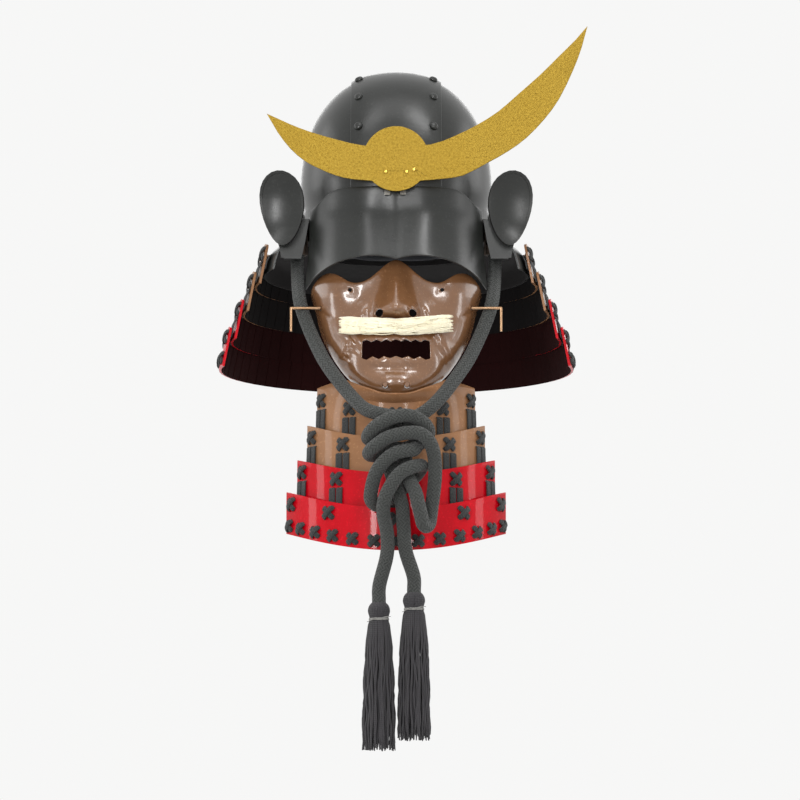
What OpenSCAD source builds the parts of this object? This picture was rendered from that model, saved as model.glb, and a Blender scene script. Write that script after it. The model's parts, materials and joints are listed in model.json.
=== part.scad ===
// A samurai helmet with its face mask, in millimetres.
// Z is up, the face looks along -Y, and the origin is the centre of the bowl's rim.

/* [Bowl] */
// Half the width of the bowl at its widest
bowl_half_w = 101; // [95:0.5:108]
// Half the length of the bowl from brow to nape
bowl_half_l = 121; // [114:0.5:128]
// Height of the widest line above the rim
bowl_wide_z = 45; // [38:1:52]
// Height of the dome above the widest line
dome_h = 127; // [118:1:136]
// How much the rim draws in on each side below the widest line
waist_w = 5.5; // [3:0.5:9]
// How much the rim draws in at the brow and the nape
waist_l = 3; // [1.5:0.5:6]
// Thickness of the side plates
side_t = 1.8; // [1.4:0.1:2.4]
// Thickness of the raised crown strip
strip_t = 2; // [1.6:0.1:2.6]
// Half the width of the crown strip
strip_half_w = 46; // [40:0.5:52]
// Clearance between plates that are riveted together
plate_gap = 0.5; // [0.3:0.1:0.9]
// Half the distance between the two rows of crown rivets
rivet_row_x = 38; // [32:0.5:40]
// Height of the base band
band_h = 34; // [26:1:38]
// Thickness of the base band
band_t = 2; // [1.5:0.1:2.6]
// Thickness of the padded lining
lining_t = 6; // [4:0.5:9]

/* [Front plate] */
// Height of the top edge of the front plate above the rim
front_top_z = 35; // [28:1:40]
// Drop of the lower edge below the rim at the middle
front_drop = 44.5; // [36:0.5:52]
// How far forward the lower edge stands at the middle
front_reach = 150; // [142:0.5:158]
// Space between the bowl's widest line and the front plate
front_space = 4; // [3.5:0.1:6]
// Thickness of the front plate
front_t = 2; // [1.6:0.1:2.6]

/* [Crest] */
// Radius of the disc in the middle of the crest
disc_r = 33.5; // [28:0.5:38]
// Height of the middle of the disc
disc_z = 60.5; // [56:0.5:66]
// Thickness of the crest plate
crest_t = 2.4; // [1.6:0.1:3.2]
// How far the crest's front face stands before the top of the front plate
crest_out = 14.6; // [12:0.1:19]
// Width of the flat tongue that carries the crest
tongue_w = 10; // [8:0.5:14]
// Thickness of the tongue
tongue_t = 2; // [1.6:0.1:2.6]
// Clearance of the socket around the tongue on each side
socket_gap = 0.25; // [0.15:0.05:0.5]

/* [Neck guard] */
// Height of each laced lame
lame_h = 43; // [36:1:48]
// Thickness of a lame
lame_t = 2.4; // [1.8:0.1:3]
// Drop from the top of one lame to the top of the next
lame_drop = 29; // [26:0.5:31]
// How much wider each lame stands than the one above it
lame_step = 12.3; // [11.5:0.1:14]
// Outward lean of the laced lames in degrees
lame_lean = 11.5; // [8:0.5:13]
// Width of one scale head
scale_w = 17.5; // [14:0.5:22]

/* [Throat guard] */
// Height of each throat lame at the middle
throat_h = 43; // [38:1:46]
// Thickness of a throat lame
throat_t = 2.2; // [1.8:0.1:2.8]
// Drop from one throat lame to the next
throat_drop = 36; // [33:0.5:38]
// How far each throat lame stands in front of the one above it
throat_step = 5; // [4.8:0.1:6]

/* [Mask] */
// Thickness of the mask shell
mask_t = 2.4; // [1.8:0.1:3.2]
// How far the nose stands out
nose_out = 30; // [20:1:36]
// Length of the moustache
moustache_w = 112; // [90:2:120]
// Diameter of the wire of the cord hooks
hook_d = 2.8; // [2.2:0.1:3.4]

/* [Cords] */
// Diameter of the chin cord
cord_d = 14; // [12:0.5:14]
// Width of one flat lacing braid
braid_w = 7.5; // [6:0.5:8]
// Thickness of a lacing braid
braid_t = 1.4; // [1:0.1:1.8]
// Length of a tassel skirt
skirt_l = 138; // [110:2:150]

/* [Hidden] */
$fn = 32;
bowl_n = 2.25;
strip_lift = plate_gap + strip_t;
rivet_r = 4.5;
rivet_h = 3;
shank_r = 1.7;
hole_r = 1.8;
band_half_w = bowl_half_w - waist_w + plate_gap + band_t;
band_half_l = bowl_half_l - waist_l + plate_gap + band_t;
band_low_z = -12;
front_top_y = bowl_half_l + front_space;
crest_y = front_top_y + crest_out;
lame_rest = 0.3;

black_c = [0.16, 0.16, 0.15];
brown_c = [0.36, 0.22, 0.14];
tan_c = [0.62, 0.45, 0.34];
red_c = [0.72, 0.05, 0.09];
gold_c = [0.8, 0.62, 0.16];
brass_c = [0.66, 0.5, 0.36];
cord_c = [0.17, 0.18, 0.17];
hair_c = [0.97, 0.92, 0.76];
cloth_c = [0.22, 0.2, 0.2];
steel_c = [0.5, 0.48, 0.45];

// Plain helpers.
function unit(v) = v / max(0.000001, norm(v));
function mix(a, b, t) = a + (b - a) * t;
function bell(v, w) = exp(-(v / w) * (v / w));
function clamp01(v) = min(1, max(0, v));
function ease(v) = let (c = clamp01(v)) c * c * (3 - 2 * c);
function signed_pow(v, e) = sign(v) * pow(abs(v), e);
function table(v, t, i = 0) =
    v <= t[0][0] ? t[0][1]
    : i >= len(t) - 1 ? t[len(t) - 1][1]
    : v <= t[i + 1][0] ? mix(t[i][1], t[i + 1][1], (v - t[i][0]) / (t[i + 1][0] - t[i][0]))
    : table(v, t, i + 1);
function flat(rows) = [for (r = rows) each r];
function each_one(n) = [for (i = [1:n]) 1];
function six_volumes(p, f) = [for (t = f) cross(p[t[0]], p[t[1]]) * p[t[2]]];

// A closed solid whose faces are turned the right way round whatever order they were listed in.
module closed_solid(p, f) {
    turn = six_volumes(p, f) * each_one(len(f));
    polyhedron(p, turn > 0 ? [for (t = f) [t[2], t[1], t[0]]] : f, convexity = 10);
}

// Two triangles for one cell of a grid.
function cell(a, b, c, d) = [[a, b, c], [a, c, d]];

// A thin plate between an outer and an inner grid of points, with four edge walls.
module plate_of(outer, inner) {
    nr = len(outer);
    nc = len(outer[0]);
    n = nr * nc;
    top = [for (i = [0:nr - 2]) for (j = [0:nc - 2])
        each cell(i * nc + j, i * nc + j + 1, (i + 1) * nc + j + 1, (i + 1) * nc + j)];
    under = [for (i = [0:nr - 2]) for (j = [0:nc - 2])
        each cell(n + i * nc + j, n + (i + 1) * nc + j, n + (i + 1) * nc + j + 1, n + i * nc + j + 1)];
    near = [for (j = [0:nc - 2]) each cell(j + 1, j, n + j, n + j + 1)];
    far = [for (j = [0:nc - 2]) let (k = (nr - 1) * nc + j) each cell(k, k + 1, n + k + 1, n + k)];
    left = [for (i = [0:nr - 2]) let (k = i * nc) each cell(k, k + nc, n + k + nc, n + k)];
    right = [for (i = [0:nr - 2]) let (k = i * nc + nc - 1) each cell(k + nc, k, n + k, n + k + nc)];
    closed_solid(concat(flat(outer), flat(inner)), concat(top, under, near, far, left, right));
}

// A tube through closed rings of points, with a fan over each end.
module tube_of(rings) {
    nr = len(rings);
    nc = len(rings[0]);
    first = nr * nc;
    ends = [each_one(nc) * rings[0] / nc, each_one(nc) * rings[nr - 1] / nc];
    wall = [for (i = [0:nr - 2]) for (j = [0:nc - 1]) let (k = (j + 1) % nc)
        each cell(i * nc + j, i * nc + k, (i + 1) * nc + k, (i + 1) * nc + j)];
    low = [for (j = [0:nc - 1]) [first, (j + 1) % nc, j]];
    high = [for (j = [0:nc - 1]) [first + 1, (nr - 1) * nc + j, (nr - 1) * nc + (j + 1) % nc]];
    closed_solid(concat(flat(rings), ends), concat(wall, low, high));
}

// A smooth line through hand-placed points.
function curve_at(p, i, t) =
    let (
        n = len(p),
        a = i > 0 ? p[i - 1] : 2 * p[0] - p[1],
        b = p[i],
        c = p[i + 1],
        d = i + 2 < n ? p[i + 2] : 2 * p[n - 1] - p[n - 2]
    )
    0.5 * (2 * b + (c - a) * t + (2 * a - 5 * b + 4 * c - d) * t * t + (3 * b - a - 3 * c + d) * t * t * t);
function smooth_line(p, steps) = concat(
    [for (i = [0:len(p) - 2]) for (s = [0:steps - 1]) curve_at(p, i, s / steps)],
    [p[len(p) - 1]]
);
function tangents(p) = [for (i = [0:len(p) - 1])
    unit(p[min(i + 1, len(p) - 1)] - p[max(i - 1, 0)])];
function carried(u, t) = unit(u - (u * t) * t);

// A round cord of one diameter along a line.
module cord_along(line, r, sides) {
    t = tangents(line);
    start = carried(abs(t[0][0]) < 0.9 ? [1, 0, 0] : [0, 1, 0], t[0]);
    side = [for (i = 0, u = start; i < len(line); i = i + 1, u = i < len(line) ? carried(u, t[i]) : u) u];
    tube_of([for (i = [0:len(line) - 1])
        [for (k = [0:sides - 1]) let (g = 360 * k / sides)
            line[i] + r * (cos(g) * side[i] + sin(g) * cross(t[i], side[i]))]]);
}

// The outside of the bowl.
function dome(z) = pow(max(0.0001, 1 - pow((z - bowl_wide_z) / dome_h, bowl_n)), 1 / bowl_n);
function waist(z) = pow(clamp01((bowl_wide_z - z) / 23), 1.6);
function span_w(z) = z >= bowl_wide_z ? bowl_half_w * dome(z) : bowl_half_w - waist_w * waist(z);
function span_l(z) = z >= bowl_wide_z ? bowl_half_l * dome(z) : bowl_half_l - waist_l * waist(z);
function oval(a, b, g) = [a * signed_pow(cos(g), 2 / bowl_n), b * signed_pow(sin(g), 2 / bowl_n)];
function bowl_point(g, z) = let (p = oval(span_w(z), span_l(z), g)) [p[0], p[1], z];
function bowl_normal(p) = unit([
    signed_pow(p[0] / bowl_half_w, bowl_n - 1) / bowl_half_w,
    signed_pow(p[1] / bowl_half_l, bowl_n - 1) / bowl_half_l,
    pow(max(0, p[2] - bowl_wide_z) / dome_h, bowl_n - 1) / dome_h
]);

// Side plates, which run under the edges of the crown strip.
side_edge_x = strip_half_w - 4;
side_rings = [1, 12, 22, 29, 36, 45, 58, 72, 86, 100, 113, 125, 136, 145, 152.5, 158.5, 162.5];
side_cols = 22;
function side_reach(z) = acos(pow(side_edge_x / span_w(z), bowl_n / 2));
side_grid = [for (z = side_rings) [for (j = [0:side_cols])
    bowl_point(mix(-side_reach(z), side_reach(z), j / side_cols), z)]];
module side_plate() {
    plate_of(side_grid, [for (row = side_grid) [for (p = row) p - side_t * bowl_normal(p)]]);
}
module right_side_plate() {
    color(black_c) side_plate();
}
module left_side_plate() {
    color(black_c) mirror([1, 0, 0]) side_plate();
}

// The crown strip, a band of even width from brow to nape over the side plates.
function arch_low(x, z, s) = [x, s * span_l(z) * pow(1 - pow(abs(x) / span_w(z), bowl_n), 1 / bowl_n), z];
function arch_high(x, g) =
    let (r = pow((1 - pow(abs(x) / bowl_half_w, bowl_n))
        / (pow(abs(cos(g)) / bowl_half_l, bowl_n) + pow(sin(g) / dome_h, bowl_n)), 1 / bowl_n))
    [x, -r * cos(g), bowl_wide_z + r * sin(g)];
strip_low_z = band_low_z + band_h + 0.4;
strip_xs = [-1, -0.92, -0.7, -0.35, 0, 0.35, 0.7, 0.92, 1];
function arch_row(x) = concat(
    [for (z = [strip_low_z, 34]) arch_low(x, z, -1)],
    [for (g = [0:7.5:180]) arch_high(x, g)],
    [for (z = [34, strip_low_z]) arch_low(x, z, 1)]
);
strip_base = [for (s = strip_xs) arch_row(s * strip_half_w)];
function lifted(grid, d) = [for (row = grid) [for (p = row) p + d * bowl_normal(p)]];
rivet_angles = [27, 46, 67, 90, 113, 134, 153];
module at_rivet(p, n) {
    translate(p) rotate([0, acos(n[2]), atan2(n[1], n[0])]) children();
}
module crown_strip() {
    color(black_c) difference() {
        plate_of(lifted(strip_base, strip_lift), lifted(strip_base, plate_gap));
        for (s = [-1, 1])
            for (g = rivet_angles)
                let (p = arch_high(s * rivet_row_x, g), n = bowl_normal(p))
                    at_rivet(p, n) cylinder(r = hole_r, h = 6);
    }
}
// A domed head with a short shank, its head resting on z = 0.
module rivet(head_r, head_h, shank_l) {
    rotate_extrude() polygon([
        [0, -shank_l], [shank_r, -shank_l], [shank_r, 0.02], [head_r, 0.02], [head_r * 0.96, head_h * 0.35],
        [head_r * 0.8, head_h * 0.68], [head_r * 0.5, head_h * 0.92], [0, head_h]
    ]);
}
module crown_rivets() {
    color(black_c) for (s = [-1, 1])
        for (g = rivet_angles)
            let (p = arch_high(s * rivet_row_x, g), n = bowl_normal(p))
                at_rivet(p + strip_lift * n, n) rivet(rivet_r, rivet_h, strip_t);
}

// The band round the rim, which holds the plates, the neck guard and the lining.
function oval_ring(a, b, n) = [for (i = [0:n - 1]) oval(a, b, 360 * (i + 0.5) / n)];
band_rivet_angles = [-38, -10, 25, 60, 90, 120, 155, 190, 218];
function band_point(g) = oval(band_half_w, band_half_l, g);
function band_turn(g) = let (p = band_point(g)) atan2(
    signed_pow(p[1] / band_half_l, bowl_n - 1) / band_half_l,
    signed_pow(p[0] / band_half_w, bowl_n - 1) / band_half_w
);
band_rivet_z = 17;
module base_band() {
    color(black_c) difference() {
        translate([0, 0, band_low_z]) linear_extrude(band_h) difference() {
            polygon(oval_ring(band_half_w, band_half_l, 72));
            polygon(oval_ring(band_half_w - band_t, band_half_l - band_t, 72));
        }
        for (g = band_rivet_angles)
            let (p = band_point(g))
                translate([p[0], p[1], band_rivet_z]) rotate([0, 90, band_turn(g)])
                    cylinder(r = hole_r, h = 10, center = true);
    }
}
module band_rivets() {
    color(black_c) for (g = band_rivet_angles)
        let (p = band_point(g))
            translate([p[0], p[1], band_rivet_z]) rotate([0, 90, band_turn(g)]) rivet(3.4, 1.8,
                band_t - 0.2);
}

// The padded cloth lining, sewn inside the rim and hanging clear of the crown.
lining_rings = [-8, 0, 14, 28, 45, 66, 88, 108, 124, 136, 144];
lining_clear = 1.5;
function lining_drop(z) = z < -4 ? 0.4 - plate_gap : side_t + lining_clear + 14 * ease((z - 20) / 120);
function ring_of(d_extra, n) = [for (z = lining_rings) [for (j = [0:n - 1])
    let (p = bowl_point(360 * j / n + 4, z)) p - (lining_drop(z) + d_extra) * bowl_normal(p)]];
module lining() {
    n = 28;
    nr = len(lining_rings);
    outer = ring_of(0, n);
    inner = ring_of(lining_t, n);
    m = nr * n;
    top_out = 2 * m;
    top_in = 2 * m + 1;
    tip_z = bowl_wide_z + dome_h - 17.5;
    walls = [for (i = [0:nr - 2]) for (j = [0:n - 1]) let (k = (j + 1) % n)
        each concat(
            cell(i * n + j, i * n + k, (i + 1) * n + k, (i + 1) * n + j),
            cell(m + i * n + j, m + (i + 1) * n + j, m + (i + 1) * n + k, m + i * n + k)
        )];
    rim = [for (j = [0:n - 1]) let (k = (j + 1) % n) each cell(k, j, m + j, m + k)];
    caps = [for (j = [0:n - 1]) let (k = (j + 1) % n, q = (nr - 1) * n)
        each [[q + j, q + k, top_out], [m + q + k, m + q + j, top_in]]];
    color(cloth_c) closed_solid(
        concat(flat(outer), flat(inner), [[0, 0, tip_z], [0, 0, tip_z - lining_t]]),
        concat(walls, rim, caps)
    );
}

// The front plate, upright over the brow and swept forward to a double-arched lower edge.
front_side_x = band_half_w - 3.5;
front_side_y = band_half_l - 42.5;
function front_edge_low(s) = let (q = abs(s)) [
    sign(s) * front_side_x * table(q, [[0, 0], [0.3, 0.296], [0.45, 0.444], [0.6, 0.603], [0.75, 0.757],
        [0.88, 0.9],
        [1, 1]]),
    -mix(front_reach, front_side_y, table(q, [[0, 0], [0.15, 0.006], [0.3, 0.028], [0.45, 0.07], [0.6,
        0.16],
        [0.75, 0.32], [0.88, 0.611], [1, 1]])),
    table(q, [[0, 0], [0.1, 2.5], [0.2, 4.1], [0.35, 4.3], [0.45, 3.3], [0.6, -0.1], [0.75, -5], [0.88,
        -13],
        [1, -21.5]]) - front_drop
];
function front_base(s) = oval(bowl_half_w + front_space, front_top_y, -90 + 57 * s);
function front_point(s, v) =
    let (
        e = front_edge_low(s),
        b = front_base(s),
        w = pow(clamp01((v - 0.28) / 0.72), 1.35),
        z = mix(front_top_z - 18 * ease((abs(s) - 0.55) / 0.45), e[2], v),
        bulge = 2.4 * bell(abs(s) - 0.27, 0.16) * sin(180 * clamp01(v * 0.9 + 0.05)) + 1.6 * bell(s, 0.05)
    )
    [mix(b[0], e[0], w), mix(b[1], e[1], w) - bulge, z];
function front_normal(s, v) = unit(cross(
    front_point(s + 0.004, v) - front_point(s - 0.004, v),
    front_point(s, v - 0.004) - front_point(s, v + 0.004)
));
front_ss = [-1, -0.94, -0.87, -0.79, -0.7, -0.6, -0.5, -0.4, -0.32, -0.24, -0.16, -0.08, -0.03, 0,
    0.03, 0.08, 0.16, 0.24, 0.32, 0.4, 0.5, 0.6, 0.7, 0.79, 0.87, 0.94, 1];
front_vs = [0, 0.12, 0.24, 0.34, 0.45, 0.58, 0.72, 0.86, 1];
module front_plate() {
    color(black_c) plate_of(
        [for (v = front_vs) [for (s = front_ss) front_point(s, v)]],
        [for (v = front_vs) [for (s = front_ss) front_point(s, v) - front_t * front_normal(s, v)]]
    );
}

// The bracket on the front plate: two feet, a step and the flat tongue.
tongue_y = -(crest_y - crest_t - 1.8);
module block(x0, x1, y0, y1, z0, z1) {
    translate([x0, y0, z0]) cube([x1 - x0, y1 - y0, z1 - z0]);
}
holder_y = -front_top_y - 2.4;
module crest_holder() {
    color(steel_c) union() {
        block(-12, -6, holder_y - 1.8, holder_y, 25, 36);
        block(4, 10, holder_y - 1.8, holder_y, 25, 36);
        block(-12, 10, tongue_y, holder_y, 33, 36);
        block(-tongue_w / 2, tongue_w / 2, tongue_y, tongue_y + tongue_t, 33, 78);
    }
}
module crest_socket() {
    sw = tongue_w / 2 + socket_gap;
    y0 = -(crest_y - crest_t);
    y1 = tongue_y + tongue_t + socket_gap;
    color(gold_c) difference() {
        block(-sw - 2, sw + 2, y0, y1 + 1.6, 36.1, 74);
        block(-sw, sw, tongue_y - socket_gap, y1, 30, 80);
    }
}

// The crest: one plate, a disc with a short left horn and a long right horn.
horn_line = [
    [-132, 107], [-108, 96], [-87, 88], [-60, 80], [-33, 74], [0, 73], [35, 75], [60, 84], [82, 95], [104,
        109],
    [124, 126.5], [147, 147], [167, 167], [184, 184], [196, 198], [190, 176], [181, 152], [167, 123],
    [152, 102], [133, 82], [114, 68], [93, 56], [68, 43], [46, 39.5], [28, 38], [0, 36], [-30, 38], [-46,
        39.5],
    [-61, 43], [-78, 50], [-93, 58], [-108, 71], [-121, 88]
];
function sharp(i) = i == 0 || i == 14;
function horn_mid(i) =
    let (n = len(horn_line), a = horn_line[(i + n - 1) % n], b = horn_line[i], c = horn_line[(i + 1) % n],
        d = horn_line[(i + 2) % n])
    sharp(i) || sharp((i + 1) % n) ? (b + c) / 2 : (9 * (b + c) - a - d) / 16;
horn_outline = [for (i = [0:len(horn_line) - 1]) each [horn_line[i], horn_mid(i)]];
pin_spots = [[10.6, 46.7], [18, 49], [-10.6, 46.7]];
module crest() {
    color(gold_c) translate([0, -crest_y + crest_t, 0]) rotate([90, 0, 0]) difference() {
        union() {
            linear_extrude(crest_t) polygon(horn_outline);
            translate([0, disc_z, 0]) cylinder(r = disc_r, h = crest_t);
        }
        for (p = pin_spots) translate([p[0], p[1], -1]) cylinder(r = 1.1, h = crest_t + 2);
    }
}
module crest_pins() {
    color(brass_c) for (p = pin_spots) translate([p[0], -crest_y + crest_t, p[1]]) rotate([90, 0, 0])
        rotate_extrude() polygon([[0, 0], [1, 0], [1, crest_t + 0.02], [2.2, crest_t + 0.02], [1.8,
            crest_t + 0.8],
            [1, crest_t + 1.2], [0, crest_t + 1.3]]);
}

// The first lame of the neck guard, smooth and fixed under the band.
flange = [[2.5, 12], [6.5, 5], [14, -4.5], [25, -12.5], [34, -18.5], [38, -24.5], [41.7, -42.5]];
front_end_y = band_half_l - 54.5;
function flange_point(i, s, d) =
    let (
        f = flange[i],
        a = band_half_w + f[0] - d,
        b = band_half_l + f[0] - d,
        n = mix(bowl_n, 2, clamp01(f[0] / 30)),
        reach = 90 + asin(pow(front_end_y / b, n / 2)),
        g = 90 - s * reach
    )
    [a * signed_pow(cos(g), 2 / n), b * signed_pow(sin(g), 2 / n), f[1] - (i < 5 ? d * 0.6 : 0)];
module neck_lame_1() {
    ss = [for (k = [-16:16]) k / 16];
    color(black_c) plate_of(
        [for (i = [0:len(flange) - 1]) [for (s = ss) flange_point(i, s, 0)]],
        [for (i = [0:len(flange) - 1]) [for (s = ss) flange_point(i, s, 1.8)]]
    );
}

// Laced lames: a row of flat scales round an oval, leaning outward.
lame_top_z = -12;
lame_first = 42;
function lame_a(k) = band_half_w + lame_first + lame_step * k;
function lame_b(k) = band_half_l + lame_first + lame_step * k;
function lame_z(k) = lame_top_z - lame_drop * k;
lame_back = front_end_y - 20;
function lame_reach(k) = 90 + asin(lame_back / lame_b(k));
function lame_count(k) = round((lame_a(k) + lame_b(k)) / 2 * lame_reach(k) * 2 * 3.14159 / 180 / scale_w);
function lame_turn(k, g) = atan2(-lame_b(k) * sin(g), lame_a(k) * cos(g));
module on_lame(k, g) {
    translate([lame_a(k) * sin(g), lame_b(k) * cos(g), lame_z(k)])
        rotate([0, 0, lame_turn(k, g)]) rotate([lame_lean, 0, 0]) children();
}
module scale_head(w_top, w_low, h) {
    rotate([90, 0, 0]) linear_extrude(lame_t) polygon([
        [-w_low / 2, -h], [w_low / 2, -h], [w_top / 2, -5], [w_top / 2 - 1, -2.4], [w_top * 0.22, -0.4],
        [-w_top * 0.1, 0], [-w_top / 2 + 2.4, -1.6], [-w_top / 2, -4.4]
    ]);
}
module laced_lame(k) {
    n = lame_count(k);
    step = 2 * lame_reach(k) / n;
    for (i = [0:n - 1])
        let (
            g = -lame_reach(k) + (i + 0.5) * step,
            w = norm([lame_a(k) * (sin(g + step / 2) - sin(g - step / 2)),
                lame_b(k) * (cos(g + step / 2) - cos(g - step / 2))])
        )
            on_lame(k, g) rotate([0, 0, 1.6]) scale_head(w + 0.9, w * 1.062 + 0.9, lame_h);
}
module neck_lame_2() {
    color(tan_c) laced_lame(0);
}
module neck_lame_3() {
    color(tan_c) laced_lame(1);
}
module neck_lame_4() {
    color(red_c) laced_lame(2);
}
module neck_lame_5() {
    color(red_c) laced_lame(3);
}

// Lacing: a crossed knot above a pair of flat braids that run down behind the next lame.
braid_lift = 0.55;
module crossed_knot(size) {
    rotate([90, 0, 0]) translate([0, 0, -braid_lift - braid_t * 1.9]) union() {
        rotate([0, 0, 45]) bar(size, braid_w * 0.62, braid_t * 1.9);
        rotate([0, 0, -45]) bar(size, braid_w * 0.62, braid_t * 1.9 - 0.6);
    }
}
module bar(l, w, t) {
    translate([0, 0, 0]) linear_extrude(t) union() {
        square([l - w, w], center = true);
        translate([l / 2 - w / 2, 0]) circle(d = w);
        translate([-l / 2 + w / 2, 0]) circle(d = w);
    }
}
module braid_pair(z0, z1, z2, reach) {
    for (s = [-1, 1])
        translate([s * (braid_w / 2 + 0.4) - braid_w / 2, 0, 0]) rotate([90, 0,
            90]) linear_extrude(braid_w) polygon([
            [braid_lift, z0], [braid_lift + braid_t, z0], [reach + braid_t, z1], [reach + braid_t, z2],
                [reach, z2],
            [reach, z1 - 0.6]
        ]);
}
lame_room = (lame_step - lame_drop * tan(lame_lean)) * cos(lame_lean) - lame_t;
neck_reach = lame_room - 0.4 - braid_t;
function columns(k) = let (n = round(2 * lame_reach(k) * (lame_a(k) + lame_b(k)) / 2 * 3.14159 / 180 / 53))
    [for (i = [0:n]) -lame_reach(k) * 0.975 + i * 2 * 0.975 * lame_reach(k) / n];
module lame_lacing(k, last) {
    for (g = columns(k)) {
        on_lame(k, g) translate([0, 0, -11]) crossed_knot(17);
        if (!last) on_lame(k, g) braid_pair(-19.5, -28, -42, neck_reach);
    }
    if (last) {
        n = round(lame_count(k) * 0.97);
        for (i = [0:n - 1])
            let (g = -lame_reach(k) * 0.975 + i * 2 * 0.975 * lame_reach(k) / (n - 1))
                on_lame(k, g) translate([0, 0, -lame_h + 9.5]) crossed_knot(14.5);
    }
}
module neck_lacing_1() {
    color(cord_c) for (g = columns(-1)) on_lame(-1, g) braid_pair(-43.5, -50, -58, neck_reach);
}
module neck_lacing_2() {
    color(cord_c) lame_lacing(0, false);
}
module neck_lacing_3() {
    color(cord_c) lame_lacing(1, false);
}
module neck_lacing_4() {
    color(cord_c) lame_lacing(2, false);
}
module neck_lacing_5() {
    color(cord_c) lame_lacing(3, true);
}

// The turned-back wings: a hollow dish on a stem that stands on the end of the first lame.
dish_r = 72;
wing_x = band_half_w;
function egg(w, h, n) = [for (i = [0:n - 1]) let (g = 360 * i / n) [w * cos(g) * (1 + 0.24 * sin(g)),
    h * sin(g)]];
module egg_column(w, h, l) {
    rotate([90, 0, 0]) translate([0, 0, -l / 2]) linear_extrude(l) polygon(egg(w, h, 28));
}
module dish_shell(r_out, r_in) {
    difference() {
        translate([0, -dish_r + 8, 0]) sphere(r = r_out);
        translate([0, -dish_r + 8, 0]) sphere(r = r_in);
    }
}
module wing() {
    translate([wing_x + 20, -front_end_y - 10, 19]) rotate([0, 5, 14]) {
        intersection() {
            dish_shell(dish_r, dish_r - 2.2);
            egg_column(22, 38.5, 60);
        }
        intersection() {
            dish_shell(dish_r + 0.5, dish_r - 3.2);
            difference() {
                egg_column(22.8, 39.3, 60);
                egg_column(20.2, 36.7, 70);
            }
        }
    }
    translate([wing_x, -front_end_y - 0.3, 0]) rotate([90, 0, 0]) linear_extrude(2.4)
        polygon([[-8, 10], [3, 8], [12, 22], [26, 22], [29, 0], [23, -20], [21, -31], [0, -31], [-4, -14]]);
    block(wing_x, wing_x + 18, -front_end_y - 12, -front_end_y - 0.3, -33.4, -31);
}
module right_wing() {
    color(black_c) wing();
}
module left_wing() {
    color(black_c) mirror([1, 0, 0]) wing();
}

// The face mask.
function mask_half_w(z) = table(-z, [[42, 88], [60, 91], [67, 90.5], [92, 83], [108, 79.5], [124, 74],
    [142, 64.5],
    [158, 53.5], [170, 42], [178, 32], [184, 20]]);
function mask_front(z) = table(-z, [[42, 122], [67, 125], [96, 132], [118, 139], [135, 144], [150, 146],
    [165, 150],
    [176, 150], [184, 145]]);
function mask_side(z) = table(-z, [[42, 60], [67, 64], [96, 73], [124, 84], [150, 98], [170, 112], [184,
    124]]);
function mask_top(x) = table(abs(x), [[0, -41], [8, -42.5], [16, -50], [25, -58.5], [34, -63.5], [43,
    -65], [52, -60.5],
    [60, -54.5], [67, -51.5], [74, -51.5], [80, -54.5], [85, -60], [89, -67], [92, -78]]);
function mask_bumps(x, z) =
    let (
        q = abs(x),
        nose_w = mix(8, 15, clamp01((-z - 48) / 46)),
        nose_rise = mix(5, nose_out, clamp01((-z - 44) / 50)) * (1 - ease((-z - 98) / 9)),
        fold_x = mix(23, 52, pow(clamp01((-z - 86) / 62), 1.2))
    )
    nose_rise * bell(x, nose_w)
    + 9 * bell(q - 17, 7) * bell(z + 94, 8)
    + 6 * bell(q - 62, 16) * bell(z + 74, 15)
    + 3.2 * bell(q - fold_x - 7, 6) * ease((-z - 84) / 12) * (1 - ease((-z - 140) / 14))
    - 4.5 * bell(q - fold_x, 4.5) * ease((-z - 82) / 10) * (1 - ease((-z - 148) / 12))
    + 5 * bell(x, 34) * bell(z + 122, 20)
    + 3.4 * bell(z + 149, 3.6) * bell(x, 30)
    - 3.6 * bell(z + 157, 4.4) * bell(x, 26)
    + 5.5 * bell(z + 170, 9) * bell(x, 21)
    + 1.5 * bell(q - 7, 2.6) * bell(z + 66, 16)
    - 2 * bell(q - 40, 9) * bell(z + 80, 10)
    + 1.4 * bell(q - 41, 3) * bell(z + 74, 12);
function mask_point(f, v) =
    let (
        sx = signed_pow(sin(f), 0.95),
        guess_x = mask_half_w(-64) * sx,
        z = mix(mask_top(guess_x), -184, v),
        x = mask_half_w(z) * sx,
        y = mask_side(z) + (mask_front(z) - mask_side(z)) * pow(abs(cos(f)), 0.85)
    )
    [x, -y - mask_bumps(x, z), z];
function mask_normal(f, v) = unit(cross(
    mask_point(f + 0.4, v) - mask_point(f - 0.4, v),
    mask_point(f, v - 0.008) - mask_point(f, v + 0.008)
));
mask_fs = [-88, -80, -72, -64, -57, -50, -44, -38.5, -33, -28, -23.5, -19.5, -16, -12.5, -9.5, -6.5, -3.2,
    0,
    3.2, 6.5, 9.5, 12.5, 16, 19.5, 23.5, 28, 33, 38.5, 44, 50, 57, 64, 72, 80, 88];
mask_vs = [0, 0.05, 0.1, 0.15, 0.2, 0.25, 0.3, 0.34, 0.38, 0.42, 0.455, 0.49, 0.53, 0.57, 0.61, 0.65,
    0.69, 0.73,
    0.77, 0.81, 0.85, 0.89, 0.93, 0.965, 1];
mouth_top = [[-34, -127], [-29, -126], [-25, -128.4], [-20, -126], [-15, -128.4], [-10, -126], [-5,
    -128.4], [0, -126],
    [5, -128.4], [10, -126], [15, -128.4], [20, -126], [25, -128.4], [29, -126], [34, -127]];
mouth_low = [[34.5, -145], [30, -146.5], [24, -143], [18, -146], [12, -143], [6, -145.5], [0, -143], [-6,
    -145.5],
    [-12, -143], [-18, -146], [-24, -143], [-30, -146.5], [-34.5, -145]];
hook_root = [78, -88];
peg_spots = [[-11, -174], [11, -174]];
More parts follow.
